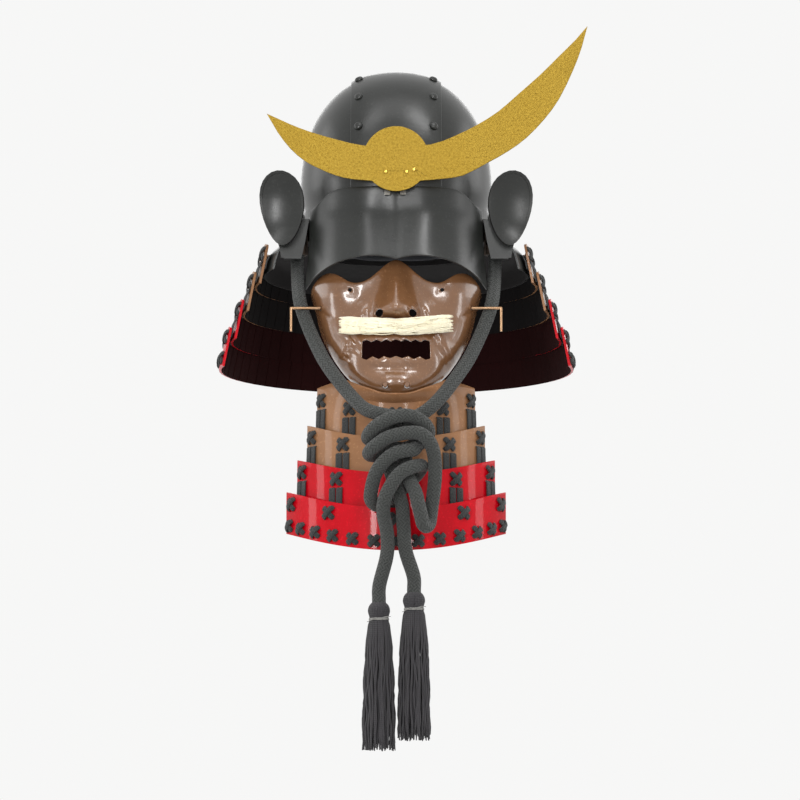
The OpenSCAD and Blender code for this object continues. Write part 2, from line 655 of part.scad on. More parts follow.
module mask_shell() {
    color(brown_c) difference() {
        plate_of(
            [for (v = mask_vs) [for (f = mask_fs) mask_point(f, v)]],
            [for (v = mask_vs) [for (f = mask_fs) mask_point(f, v) - mask_t * mask_normal(f, v)]]
        );
        translate([0, -90, 0]) rotate([90, 0, 0]) linear_extrude(100) polygon(concat(mouth_top, mouth_low));
        for (s = [-1, 1]) {
            translate([s * 17, -110, -99]) rotate([90, 0, 0]) cylinder(r = 3.6, h = 60);
            translate([s * 47, -80, -72]) rotate([90, 0, 0]) cylinder(r = 1.8, h = 60);
            translate([s * hook_root[0], -70, hook_root[1]]) rotate([90, 0,
                0]) cylinder(r = hook_d / 2 + 0.2, h = 50);
        }
        for (p = peg_spots) translate([p[0], -120, p[1]]) rotate([90, 0, 0]) cylinder(r = 2.4, h = 50);
    }
}
module chin_pegs() {
    color(brown_c) for (p = peg_spots) translate([p[0], -146, p[1]]) rotate([90, 0, 0]) cylinder(r = 2.2,
        h = 15);
}

// The clipped moustache, a low bar of hair glued over the upper lip.
lip_gap = 0.6;
function lip_at(x, z) = let (sx = x / mask_half_w(z))
    mask_side(z) + (mask_front(z) - mask_side(z)) * pow(1 - sx * sx, 0.44) + mask_bumps(x, z);
function lip_y(x) = max([for (z = [-122:2.8:-105.2]) for (e = [-2.6, 0, 2.6])
    lip_at(x + e, z + 2.4 * pow(2 * x / moustache_w, 2))]);
module moustache() {
    n = 22;
    rings = [for (i = [0:n])
        let (
            s = 2 * i / n - 1,
            x = s * moustache_w / 2,
            end = pow(1 - pow(abs(s), 8), 0.25),
            h = mix(3.5, 8.4, end) + 0.8 * s * s,
            d = mix(2.5, 4.2, end)
        )
        [for (k = [0:9]) let (g = 36 * k + 18)
            [x, -lip_y(x) - lip_gap - d * (1 + signed_pow(cos(g), 0.7)), -112.5 - 1.2 * bell(s,
                0.5) + 2.4 * s * s
                + h * signed_pow(sin(g), 0.7)]]];
    color(hair_c) tube_of(rings);
}

// The wire hooks that keep the chin cord off the cheeks.
module rod(a, b, d) {
    v = b - a;
    translate(a) rotate([0, acos(v[2] / norm(v)), atan2(v[1], v[0])]) cylinder(d = d, h = norm(v));
}
module wire_hook() {
    p0 = [hook_root[0], -84, hook_root[1]];
    p1 = [hook_root[0], -99.6, hook_root[1]];
    p2 = [107.5, -99.6, hook_root[1]];
    p3 = [107.5, -99.6, hook_root[1] - 24];
    rod(p0, p1, hook_d);
    translate(p1) sphere(d = hook_d);
    rod(p1, p2, hook_d);
    translate(p2) sphere(d = hook_d);
    rod(p2, p3, hook_d);
}
module mask_hook_right() {
    color(brass_c) wire_hook();
}
module mask_hook_left() {
    color(brass_c) mirror([1, 0, 0]) wire_hook();
}

// The throat guard: four upright curved lames.
throat_mid_y = -50;
function throat_a(k) = 92 + 9.5 * k;
function throat_b(k) = 88 + throat_step * k;
function throat_top(k) = -190 - throat_drop * k;
function throat_reach(k) = table(k, [[0, 62], [1, 64], [2, 66], [3, 69]]);
function throat_rise(k, x) = table(k, [[0, 26], [1, 22], [2, 22], [3, 25]]) * pow(abs(x) / throat_a(k), 2);
function throat_xy(k, g, d) = [(throat_a(k) - d) * sin(g), throat_mid_y - (throat_b(k) - d) * cos(g)];
module throat_lame(k) {
    n = 22;
    heights = [0, 1];
    outer = [for (v = heights) [for (i = [0:n])
        let (g = mix(-1, 1, i / n) * throat_reach(k), p = throat_xy(k, g, 0))
        [p[0], p[1], throat_top(k) - v * throat_h + throat_rise(k, p[0])]]];
    inner = [for (v = heights) [for (i = [0:n])
        let (g = mix(-1, 1, i / n) * throat_reach(k), p = throat_xy(k, g, throat_t), o = throat_xy(k, g, 0))
        [p[0], p[1], throat_top(k) - v * throat_h + throat_rise(k, o[0])]]];
    plate_of(outer, inner);
}
// The first throat lame starts on the outside of the jaw and turns down over the throat.
jaw_gap = 0.9;
function jaw_point(u, lift) =
    let (f = 86 * sign(u) * pow(abs(u), 0.9), v = 0.972 - 0.17 * u * u)
    mask_point(f, v) + lift * mask_normal(f, v);
function throat_wall(u, drop) =
    let (g = u * throat_reach(0), p = throat_xy(0, g, 0))
    [p[0], p[1], throat_top(0) - drop + throat_rise(0, p[0])];
function throat_shoulder(u) =
    mix(jaw_point(u, jaw_gap + throat_t), throat_wall(u, 0), 0.5) + [0, -2 * (1 - u * u), 1.5 - 3 * bell(u, 0.35)];
function throat_face(u, row) =
    row == 0 ? jaw_point(u, jaw_gap + throat_t)
    : row == 1 ? throat_shoulder(u)
    : throat_wall(u, row == 2 ? 0 : throat_h);
function throat_out(u, row) = unit(cross(
    throat_face(u + 0.02, row) - throat_face(u - 0.02, row),
    throat_face(u, max(row - 1, 0)) - throat_face(u, min(row + 1, 3))
));
module throat_lame_1() {
    us = [for (i = [-14:14]) i / 14];
    color(tan_c) plate_of(
        [for (row = [0:3]) [for (u = us) throat_face(u, row)]],
        [for (row = [0:3]) [for (u = us) throat_face(u, row)
            - throat_t * (row == 0 ? mask_normal(86 * sign(u) * pow(abs(u), 0.9), 0.972 - 0.17 * u * u)
                : throat_out(u, row))]]
    );
}
module throat_lame_2() {
    color(tan_c) throat_lame(1);
}
module throat_lame_3() {
    color(red_c) throat_lame(2);
}
module throat_lame_4() {
    color(red_c) throat_lame(3);
}
module on_throat(k, g, drop) {
    p = throat_xy(k, g, 0);
    turn = 180 + atan2(throat_b(k) * sin(g), throat_a(k) * cos(g));
    translate([p[0], p[1], throat_top(k) - drop + throat_rise(k, p[0])]) rotate([0, 0, turn]) children();
}
throat_columns = [-0.9, -0.5, 0, 0.5, 0.9];
throat_reach_out = throat_step - throat_t - braid_t - 0.5;
module throat_lacing(k, last) {
    for (c = throat_columns)
        let (g = c * throat_reach(k)) {
            on_throat(k, g, 11.5) crossed_knot(16);
            if (!last) on_throat(k, g, 0) braid_pair(-21, -34, -42.5, throat_reach_out);
        }
    if (last)
        for (i = [-6:6]) on_throat(k, i / 6 * throat_reach(k) * 0.93, throat_h - 9) crossed_knot(14);
}
module throat_lacing_1() {
    color(cord_c) throat_lacing(0, false);
}
module throat_lacing_2() {
    color(cord_c) throat_lacing(1, false);
}
module throat_lacing_3() {
    color(cord_c) throat_lacing(2, false);
}
module throat_lacing_4() {
    color(cord_c) throat_lacing(3, true);
}

// Leather loops on the band that hold the upper ends of the chin cord.
loop_angle = -20;
loop_out = cord_d / 2 + 3.4;
loop_p = band_point(loop_angle);
loop_g = band_turn(loop_angle);
loop_x = loop_p[0] + loop_out * cos(loop_g);
loop_y = loop_p[1] + loop_out * sin(loop_g);
module cord_loop() {
    translate([loop_p[0], loop_p[1], 0]) rotate([0, 0, loop_g]) {
        block(0.25, 2.2, -6, 6, -26, -2);
        difference() {
            translate([loop_out, 0, -26]) cylinder(r = cord_d / 2 + 2.6, h = 11);
            translate([loop_out, 0, -30]) cylinder(r = cord_d / 2 + 0.5, h = 20);
        }
    }
}
module cord_loop_right() {
    color(cloth_c) cord_loop();
}
module cord_loop_left() {
    color(cloth_c) mirror([1, 0, 0]) cord_loop();
}

// The chin cord: each side is one unbroken length from its loop, through the knot, to its tassel.
left_route = [
    [-loop_x, loop_y, -13], [-loop_x, loop_y, -30], [-102.2, -55, -46], [-101, -70, -64], [-99, -84.5, -79],
    [-95.5, -92, -92], [-90.5, -97, -106], [-83, -106, -124], [-73.5, -119.5, -144], [-61, -136, -164],
    [-46, -152, -184], [-32, -167, -199], [-16, -179, -206], [1, -183.5, -210], [12, -184, -217], [17.8, -185.2, -227.2],
    [20.5, -188, -237], [18, -197, -243.5], [10, -201.5, -245], [-1, -202, -248], [-11, -200, -255],
    [-19.5, -197, -266], [-24, -191, -280], [-25, -180.5, -292], [-18, -170, -297], [-7, -168, -290],
    [7, -168, -279], [19, -170, -268], [25.5, -178.5, -260], [24, -190, -259], [15, -200.4, -261.8],
    [4, -203, -268], [-5, -202, -280], [-11.5, -198, -294], [-12.5, -190, -308], [-9, -183, -325],
    [-9, -177.5, -347], [-16.5, -173.3, -377], [-17, -173, -392]
];
right_route = [
    [loop_x, loop_y, -13], [loop_x, loop_y, -30], [102.2, -55, -46], [101, -70, -64], [99, -84.5, -79],
    [95.5, -92, -92], [90.5, -97, -106], [83, -106, -124], [73.5, -119.5, -144], [61, -136, -164],
    [47, -152, -184], [33, -163, -199], [16, -168, -210], [-3, -168.5, -219], [-18, -171, -228],
    [-27.5, -180.5, -231], [-26, -192, -226], [-17, -199.5, -218.5], [-3, -202, -212], [12, -201, -210],
    [25.5, -195, -215], [32.5, -183.5, -224], [27, -171.5, -233], [11, -167.5, -239], [-6, -168, -243],
    [-20, -173, -247], [-27, -184, -246.5], [-22, -196.5, -241], [-10, -202, -233], [5, -203.5, -228.5],
    [20, -204, -227.5], [28.5, -203.5, -231], [35, -199, -239], [38.5, -193.5, -252], [39, -190, -269],
    [37.5, -186, -286], [35.6, -183.5, -300], [34.4, -183.7, -310], [33, -186.3, -317], [29.8, -192.5, -320],
    [26.5, -198.7, -317], [25, -201.3, -310], [22.4, -202, -299], [19.2, -198.5, -286], [14, -191.2, -275],
    [10.2, -184.5, -263], [9.4, -184, -251], [7.4, -184.5, -244], [2, -185, -241.6], [-3.4, -184.5, -244],
    [-5.4, -184, -251], [-5, -183.5, -265], [0.6, -183.3, -281], [6, -183.5, -298], [7.6, -181.5, -320],
    [9.6, -176.5, -343], [17.5, -173.3, -368], [18, -173, -382]
];
left_line = smooth_line(left_route, 2);
right_line = smooth_line(right_route, 2);

// The least clear space of each cord to itself and between the two, measured on points along their lines.
function run_along(line) = [for (i = 0, s = 0; i < len(line);
    s = s + (i + 1 < len(line) ? norm(line[i + 1] - line[i]) : 0), i = i + 1) s];
function self_gap(line) =
    let (run = run_along(line), n = len(line))
    min([for (i = [0:n - 1]) for (j = [i + 1:1:n - 1]) if (run[j] - run[i] > 2.2 * cord_d)
        norm(line[i] - line[j])]) - cord_d;
function pair_gap(a, b) = min([for (p = a) for (q = b) norm(p - q)]) - cord_d;
module chin_cord_left() {
    echo(left_cord_gap_to_itself = self_gap(smooth_line(left_route, 5)));
    echo(left_cord_length = run_along(left_line)[len(left_line) - 1]);
    color(cord_c) cord_along(left_line, cord_d / 2, 10);
}
module chin_cord_right() {
    echo(right_cord_gap_to_itself = self_gap(smooth_line(right_route, 5)));
    echo(right_cord_length = run_along(right_line)[len(right_line) - 1]);
    echo(gap_between_the_cords = pair_gap(smooth_line(left_route, 5), smooth_line(right_route, 5)));
    color(cord_c) cord_along(right_line, cord_d / 2, 10);
}

// Tassels: a bound head and a skirt of yarn, hung from the end of each cord.
tassel_gap = 0.4;
module tassel(top, r) {
    translate(top + [0, 0, -tassel_gap]) rotate_extrude() polygon([
        [0, 0], [1.5, -0.3], [7, -3.2], [9.5, -6.5], [10.4, -11], [9, -15.5], [8.4, -17.5], [8.4, -20.5],
            [10.5, -25],
        [r * 0.8, -45], [r * 0.93, -85], [r, -skirt_l - 20], [0, -skirt_l - 20]
    ]);
}
module tassel_binding(top) {
    translate(top + [0, 0, -tassel_gap - 20.2]) difference() {
        cylinder(r = 10.6, h = 2.4);
        translate([0, 0, -1]) cylinder(r = 8.9, h = 5);
    }
}
left_end = left_line[len(left_line) - 1];
right_end = right_line[len(right_line) - 1];
module tassel_left() {
    color(cord_c) tassel(left_end, 17);
}
module tassel_right() {
    color(cord_c) tassel(right_end, 16.4);
}
module tassel_binding_left() {
    color(steel_c) tassel_binding(left_end);
}
module tassel_binding_right() {
    color(steel_c) tassel_binding(right_end);
}

front_plate();
crown_strip();
left_side_plate();
right_side_plate();
base_band();
crown_rivets();
band_rivets();
lining();
crest_holder();
crest();
crest_socket();
crest_pins();
left_wing();
right_wing();
neck_lame_1();
neck_lame_2();
neck_lame_3();
neck_lame_4();
neck_lame_5();
neck_lacing_1();
neck_lacing_2();
neck_lacing_3();
neck_lacing_4();
neck_lacing_5();
mask_shell();
chin_pegs();
moustache();
mask_hook_left();
mask_hook_right();
throat_lame_1();
throat_lame_2();
throat_lame_3();
throat_lame_4();
throat_lacing_1();
throat_lacing_2();
throat_lacing_3();
throat_lacing_4();
cord_loop_left();
cord_loop_right();
chin_cord_left();
chin_cord_right();
tassel_left();
tassel_right();
tassel_binding_left();
tassel_binding_right();
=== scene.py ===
import bpy
import bmesh
import json
import random
from math import asin, atan2, copysign, cos, degrees, exp, hypot, pi, radians, sin, tan
from mathutils import Matrix, Vector


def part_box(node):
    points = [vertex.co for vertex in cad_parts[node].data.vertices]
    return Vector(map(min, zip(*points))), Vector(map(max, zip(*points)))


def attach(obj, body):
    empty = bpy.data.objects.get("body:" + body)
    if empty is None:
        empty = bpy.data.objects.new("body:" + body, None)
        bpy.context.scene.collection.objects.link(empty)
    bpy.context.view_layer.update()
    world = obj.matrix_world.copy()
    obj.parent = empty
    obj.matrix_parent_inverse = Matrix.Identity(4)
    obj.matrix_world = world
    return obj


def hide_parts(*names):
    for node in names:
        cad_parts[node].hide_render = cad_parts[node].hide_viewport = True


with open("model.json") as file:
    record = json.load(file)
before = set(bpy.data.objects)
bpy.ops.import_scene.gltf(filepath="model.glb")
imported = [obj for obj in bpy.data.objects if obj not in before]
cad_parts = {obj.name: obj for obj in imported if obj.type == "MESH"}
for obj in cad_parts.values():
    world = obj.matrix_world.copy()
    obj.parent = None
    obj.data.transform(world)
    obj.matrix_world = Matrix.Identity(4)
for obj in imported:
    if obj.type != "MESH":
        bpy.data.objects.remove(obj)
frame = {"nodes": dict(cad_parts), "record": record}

mm = 0.001
nodes = frame["nodes"]
bodyOf = {n: body for body, names in frame["record"]["behaviour"]["bodies"].items() for n in names}
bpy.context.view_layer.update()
print("frame loaded with", len(nodes), "nodes")


# camera, low in front of the face and looking slightly up
lookout = {
    "aim": (0.004, -0.04, -0.176),
    "distance": 4.2,
    "elevation": -6.5,
    "frameHeight": 0.83,
    "sensor": 36,
    "farthest": 50,
}


def addCamera(plan):
    tilt = radians(plan["elevation"])
    away = Vector((0, -cos(tilt), sin(tilt))) * plan["distance"]
    data = bpy.data.cameras.new("viewpoint")
    data.sensor_width = plan["sensor"]
    data.lens = plan["sensor"] * plan["distance"] / plan["frameHeight"]
    data.clip_end = plan["farthest"]
    camera = bpy.data.objects.new("viewpoint", data)
    camera.location = Vector(plan["aim"]) + away
    camera.rotation_euler = (-away).to_track_quat("-Z", "Y").to_euler()
    bpy.context.scene.collection.objects.link(camera)
    bpy.context.scene.camera = camera


addCamera(lookout)
print("camera placed")


# small helpers: select a piece, give it a finish by name, and tie it to the nodes it stands for
def pickOnly(piece):
    bpy.ops.object.select_all(action="DESELECT")
    piece.select_set(True)
    bpy.context.view_layer.objects.active = piece


def paint(piece, finish):
    piece.data.materials.clear()
    piece.data.materials.append(finishes[finish])


def dress(piece, finish, slot, *replaced):
    paint(piece, finish)
    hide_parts(*replaced)
    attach(piece, bodyOf[replaced[0]])
    return piece


def rounded(value, power):
    return copysign(abs(value) ** power, value)


# a swept piece: one closed skin around each line, with its own unwrapped map
class Sweep:
    def __init__(self, name):
        self.name = name
        self.mesh = bmesh.new()
        self.map = self.mesh.loops.layers.uv.new("woven")

    def run(self, line, out, halfWide, halfThick, sides=8, square=1.0, wraps=1.0, unit=0.01):
        # line: points; out: one outward direction for each point; half plan: numbers or lists
        count = len(line)
        wide = halfWide if isinstance(halfWide, list) else [halfWide] * count
        thick = halfThick if isinstance(halfThick, list) else [halfThick] * count
        rings, along = [], [0.0]
        for i in range(count):
            ahead = (line[min(i + 1, count - 1)] - line[max(i - 1, 0)]).normalized()
            up = (out[i] - ahead * out[i].dot(ahead)).normalized()
            side = ahead.cross(up)
            ring = []
            for k in range(sides):
                turn = 2 * pi * (k + 0.5) / sides
                aside, rise = rounded(cos(turn), square), rounded(sin(turn), square)
                spot = line[i] + side * (wide[i] * aside) + up * (thick[i] * rise)
                ring.append(self.mesh.verts.new(spot))
            rings.append(ring)
            if i:
                along.append(along[-1] + (line[i] - line[i - 1]).length)
        for i in range(count - 1):
            for k in range(sides):
                j = (k + 1) % sides
                face = self.mesh.faces.new((rings[i][k], rings[i][j], rings[i + 1][j], rings[i + 1][k]))
                face.smooth = True
                spots = ((k, i), (k + 1, i), (k + 1, i + 1), (k, i + 1))
                for loop, (a, b) in zip(face.loops, spots):
                    loop[self.map].uv = (a / sides * wraps, along[b] / unit)
        for ring, turned in ((rings[0], True), (rings[-1], False)):
            cap = self.mesh.faces.new(list(reversed(ring)) if turned else ring)
            cap.smooth = True
            for loop in cap.loops:
                loop[self.map].uv = (0.1, 0.1)  # one plain spot of the weave

    def finish(self):
        bmesh.ops.recalc_face_normals(self.mesh, faces=self.mesh.faces)
        data = bpy.data.meshes.new(self.name)
        self.mesh.to_mesh(data)
        self.mesh.free()
        piece = bpy.data.objects.new(self.name, data)
        bpy.context.scene.collection.objects.link(piece)
        return piece


def smoothLine(points, steps):
    # a curve through every point, made from four neighbours at a time
    made = []
    last = len(points) - 1
    for i in range(last):
        b, c = points[i], points[i + 1]
        a = points[i - 1] if i else 2 * b - c
        d = points[i + 2] if i + 2 <= last else 2 * c - b
        for step in range(steps):
            t = step / steps
            made.append(0.5 * (2 * b + (c - a) * t + (2 * a - 5 * b + 4 * c - d) * t ** 2
                               + (3 * b - a - 3 * c + d) * t ** 3))
    made.append(points[last])
    return made


def bell(x, width):
    return exp(-(x / width) ** 2)


def ease(x):
    x = min(1.0, max(0.0, x))
    return x * x * (3 - 2 * x)


def lengthOf(line):
    return sum((b - a).length for a, b in zip(line, line[1:]))


def carriedFrames(line):
    # a direction square to the line that turns as little as it can, starting towards the front
    up, made = Vector((0.3, -1, 0.1)), []
    for i in range(len(line)):
        ahead = (line[min(i + 1, len(line) - 1)] - line[max(i - 1, 0)]).normalized()
        up = (up - ahead * up.dot(ahead)).normalized()
        made.append(up.copy())
    return made


# chin cords: each runs from its loop round the cheek, through the knot and into its tassel
chinCord = {
    "diameter": 14 * mm,
    "steps": 6,  # points made from one point of the route to the next
    "sides": 24,
    "intoTassel": 14,  # how far the end runs on inside the tassel's head, in mm
    "endTaper": (0.46, 0.4, 0.33, 0.25),  # last radii, as shares of the diameter
    "loopPlace": (102.78, -49.09),
    "underLoop": (-13, -30),
    "side": [
        (102.2, -55, -46), (101, -70, -64), (99, -84.5, -79), (95.5, -92, -92), (90.5, -97, -106),
        (83, -106, -124), (73.5, -119.5, -144),
    ],
    "left": [
        (-61, -136, -164), (-46, -152, -184), (-32, -167, -199), (-16, -179, -206),
        (1, -183.5, -210), (12, -184, -217), (17.8, -185.2, -227.2), (20.5, -188, -237),
        (18, -197, -243.5), (10, -201.5, -245), (-1, -202, -248), (-11, -200, -255),
        (-19.5, -197, -266), (-24, -191, -280), (-25, -180.5, -292), (-18, -170, -297),
        (-7, -168, -290), (7, -168, -279), (19, -170, -268), (25.5, -178.5, -260), (24, -190, -259),
        (15, -200.4, -261.8), (4, -203, -268), (-5, -202, -280), (-11.5, -198, -294),
        (-12.5, -190, -308), (-9, -183, -325), (-9, -177.5, -347), (-16.5, -173.3, -377),
        (-17, -173, -392),
    ],
    "right": [
        (61, -136, -164), (47, -152, -184), (33, -163, -199), (16, -168, -210), (-3, -168.5, -219),
        (-18, -171, -228), (-27.5, -180.5, -231), (-26, -192, -226), (-17, -199.5, -218.5),
        (-3, -202, -212), (12, -201, -210), (25.5, -195, -215), (32.5, -183.5, -224),
        (27, -171.5, -233), (11, -167.5, -239), (-6, -168, -243), (-20, -173, -247),
        (-27, -184, -246.5), (-22, -196.5, -241), (-10, -202, -233), (5, -203.5, -228.5),
        (20, -204, -227.5), (28.5, -203.5, -231), (35, -199, -239), (38.5, -193.5, -252),
        (39, -190, -269), (37.5, -186, -286), (35.6, -183.5, -300), (34.4, -183.7, -310),
        (33, -186.3, -317), (29.8, -192.5, -320), (26.5, -198.7, -317), (25, -201.3, -310),
        (22.4, -202, -299), (19.2, -198.5, -286), (14, -191.2, -275), (10.2, -184.5, -263),
        (9.4, -184, -251), (7.4, -184.5, -244), (2, -185, -241.6), (-3.4, -184.5, -244),
        (-5.4, -184, -251), (-5, -183.5, -265), (0.6, -183.3, -281), (6, -183.5, -298),
        (7.6, -181.5, -320), (9.6, -176.5, -343), (17.5, -173.3, -368), (18, -173, -382),
    ],
}


def cordLine(plan, hand):
    sign = -1 if hand == "left" else 1
    x, y = plan["loopPlace"]
    points = [Vector((sign * x, y, z)) for z in plan["underLoop"]]
    points += [Vector((sign * px, py, pz)) for px, py, pz in plan["side"]]
    points += [Vector(p) for p in plan[hand]]
    end = points[-1]
    points.append(end - Vector((0, 0, plan["intoTassel"])))
    return [p * mm for p in smoothLine(points, plan["steps"])], end * mm


def chinCordPiece(plan, hand):
    line, end = cordLine(plan, hand)
    diameter, taper = plan["diameter"], plan["endTaper"]
    radius = [diameter / 2] * (len(line) - len(taper)) + [diameter * share for share in taper]
    cord = Sweep("chinCord" + hand.capitalize())
    cord.run(line, carriedFrames(line), radius, radius, plan["sides"], unit=pi * diameter)
    return cord.finish(), line, end


cordLeft, lineLeft, endLeft = chinCordPiece(chinCord, "left")
cordRight, lineRight, endRight = chinCordPiece(chinCord, "right")
print("cords made:", round(lengthOf(lineLeft), 3), "m and", round(lengthOf(lineRight), 3), "m")


# shader sockets that can be added and multiplied like numbers
class Wire:
    def __init__(self, finish, socket):
        self.finish = finish
        self.socket = socket

    def calc(self, operation, *values):
        return self.finish.node("ShaderNodeMath", {"operation": operation}, dict(enumerate(values)))

    def __add__(self, other):
        return self.calc("ADD", self, other)

    def __radd__(self, other):
        return self.calc("ADD", other, self)

    def __sub__(self, other):
        return self.calc("SUBTRACT", self, other)

    def __rsub__(self, other):
        return self.calc("SUBTRACT", other, self)

    def __mul__(self, other):
        return self.calc("MULTIPLY", self, other)

    def __abs__(self):
        return self.calc("ABSOLUTE", self)

    def wave(self):
        return self.calc("SINE", self)

    def whole(self):
        return self.calc("FLOOR", self)

    def leftOver(self, divisor):
        return self.calc("MODULO", self, divisor)

    def above(self, level):
        return self.calc("GREATER_THAN", self, level)

    def capped(self):
        return self.finish.node("ShaderNodeClamp", {}, {0: self})


class Finish:
    def __init__(self, name, roughness=0.5, metallic=0.0, **fixed):
        self.material = bpy.data.materials.new(name)
        self.material.use_nodes = True
        self.tree = self.material.node_tree
        self.shader = self.tree.nodes["Principled BSDF"]
        self.shader.inputs["Roughness"].default_value = roughness
        self.shader.inputs["Metallic"].default_value = metallic
        for key, value in fixed.items():
            self.shader.inputs[key.replace("_", " ")].default_value = value
        self.place = self.node("ShaderNodeTexCoord", {}, {}, "Object")
        self.facing = self.node("ShaderNodeTexCoord", {}, {}, "Normal")

    def node(self, kind, settings, values, output=0):
        made = self.tree.nodes.new(kind)
        for key, value in settings.items():
            setattr(made, key, value)
        for key, value in values.items():
            if isinstance(value, Wire):
                self.tree.links.new(value.socket, made.inputs[key])
            else:
                made.inputs[key].default_value = value
        return Wire(self, made.outputs[output])

    def noise(self, scale, detail=2.0, rough=0.5, where=None):
        return self.node("ShaderNodeTexNoise", {}, {
            "Vector": where or self.place, "Scale": scale, "Detail": detail, "Roughness": rough})

    def stretched(self, scale):
        return self.node("ShaderNodeMapping", {}, {"Vector": self.place, "Scale": scale})

    def cells(self, scale):
        return self.node("ShaderNodeTexVoronoi", {}, {"Vector": self.place, "Scale": scale})

    def split(self, wire, axes):
        return [self.node("ShaderNodeSeparateXYZ", {}, {0: wire}, axis) for axis in axes]

    def woven(self):
        return self.split(self.node("ShaderNodeUVMap", {"uv_map": "woven"}, {}), "XY")

    def vector(self, operation, *values, output=0):
        return self.node("ShaderNodeVectorMath", {"operation": operation}, dict(enumerate(values)), output)

    def outwards(self, middle):
        # one where a face looks away from the upright line through middle, minus one where it looks at it
        out = self.vector("SUBTRACT", self.place, (*middle, 0))
        out = self.vector("NORMALIZE", self.vector("MULTIPLY", out, (1, 1, 0)))
        return self.vector("DOT_PRODUCT", self.facing, out, output="Value")

    def blend(self, share, low, high):
        # sockets 6 and 7 and output 2 are the ones for colours
        low, high = (tone if isinstance(tone, Wire) else (*tone, 1) for tone in (low, high))
        return self.node("ShaderNodeMix", {"data_type": "RGBA"}, {0: share, 6: low, 7: high}, 2)

    def give(self, socket, wire):
        self.tree.links.new(wire.socket, self.shader.inputs[socket])

    def bump(self, height, depth):
        self.give("Normal", self.node("ShaderNodeBump", {}, {"Height": height, "Distance": depth}))

    def made(self, share, dark, light, rough, height, depth):
        # share turns the dark tone into the light one; depth is the bump's, in metres
        self.give("Base Color", self.blend(share.capped(), dark, light))
        self.give("Roughness", rough.capped())
        self.bump(height, depth)
        return self.material


# lacquered iron: cloudy wear, brushed lacquer and a fine grain, dark where it faces inwards, and painted
# shade on the narrow faces between scales
lacquer = {
    "cloud": (11, 4, 0.6),  # scale, detail and roughness of each noise
    "brushed": (60, 3, 0.55),
    "brushStretch": (1, 1, 3),
    "fine": (1100, 2),
    "speck": (420, 1),
    "speckAbove": 0.66,
    "speckShare": 0.25,
    "inwards": -0.3,  # a face that looks out by less than this is an inner one
    # the next three settings place the painted shade on the narrow faces between scales
    "sideways": 0.55,  # a face between two scales looks in or out by less than this,
    "level": 0.6,  # and up or down by less than this
    "scalesBehind": -0.035,  # the front ends of the lames, before this y, keep their colour
    "innerAndGapShadeTone": (0.006, 0.005, 0.005),
    "innerLight": 2.2,  # how much lighter the cloud makes it
    "innerRough": 0.4,  # added to its roughness
}


def paintedGapShade(finish, outwards):
    # painted shade: one on the narrow faces between two scales, behind the front ends of the lame, where
    # shade falls between the scales
    upright = finish.split(finish.facing, "Z")[0]
    behind = finish.split(finish.place, "Y")[0].above(lacquer["scalesBehind"])
    across = 1 - abs(outwards).above(lacquer["sideways"])
    return across * (1 - abs(upright).above(lacquer["level"])) * behind


def plated(name, dark, light, roughness, grain, middle, coat=0.0, inner=lacquer["innerAndGapShadeTone"],
           shadeGaps=False, **fixed):
    finish = Finish(name, **fixed)
    cloud = finish.noise(*lacquer["cloud"])
    brushed = finish.noise(*lacquer["brushed"], finish.stretched(lacquer["brushStretch"]))
    fine = finish.noise(*lacquer["fine"])
    speck = (finish.noise(*lacquer["speck"]) - lacquer["speckAbove"]).above(0.0)
    tone = finish.blend((cloud * 0.75 + brushed * 0.35).capped(), dark, light)
    tone = finish.blend(speck * lacquer["speckShare"], tone, tuple(min(1, 1.6 * c + 0.01) for c in light))
    rough = roughness - 0.08 + cloud * 0.1 + brushed * 0.07 + fine * 0.04
    outwards = finish.outwards(middle)
    innerAndGapShade = 1 - outwards.above(lacquer["inwards"])
    # on scaled lames, painted shade: the narrow faces between scales also take the dark inner tone
    if shadeGaps:
        innerAndGapShade = (innerAndGapShade + paintedGapShade(finish, outwards)).capped()
    innerAndGapShadeTone = finish.blend(cloud, inner, tuple(lacquer["innerLight"] * c for c in inner))
    finish.give("Base Color", finish.blend(innerAndGapShade, tone, innerAndGapShadeTone))
    finish.give("Roughness", (rough + innerAndGapShade * lacquer["innerRough"]).capped())
    if coat:
        finish.give("Coat Weight", (1 - innerAndGapShade) * coat)
    finish.bump(fine * 0.35 + brushed * 0.9 + cloud * 0.6, grain)
    return finish.material


finishes = {
    "blackIron": plated("blackIron", (0.006, 0.0065, 0.006), (0.021, 0.0225, 0.0205), 0.28, 0.00009,
                        (0, 0), Specular_IOR_Level=0.43),
    "russetMask": plated("russetMask", (0.105, 0.043, 0.016), (0.235, 0.112, 0.050), 0.2, 0.0002,
                         (0, -0.06), 0.6, Coat_Roughness=0.05),
    "tanLacquer": plated("tanLacquer", (0.21, 0.097, 0.043), (0.365, 0.185, 0.09), 0.34, 0.00016,
                         (0, 0), 0.2, shadeGaps=True, Coat_Roughness=0.08, Specular_IOR_Level=0.1),
    "redLacquer": plated("redLacquer", (0.37, 0.0015, 0.005), (0.58, 0.003, 0.013), 0.3, 0.00014,
                         (0, 0), 0.24, (0.012, 0.003, 0.003), True, Coat_Roughness=0.06,
                         Specular_IOR_Level=0.04),
}


def goldFinish():
    # leaf over a rough ground: coarse and fine grain, darker pits and a slow change over the plate
    finish = Finish("goldLeaf", metallic=0.9)
    grain = finish.noise(430, 3, 0.75)
    pits = finish.cells(620)
    cloud = finish.noise(14, 3)
    leaf = finish.blend((grain * 1.6 - 0.5 + pits * 0.2).capped(), (0.14, 0.079, 0.006), (0.47, 0.325, 0.054))
    rough = 0.36 + grain * 0.3 + cloud * 0.06
    return finish.made(cloud * 0.4, leaf, (0.30, 0.185, 0.017), rough, grain + pits * 0.5, 0.0006)


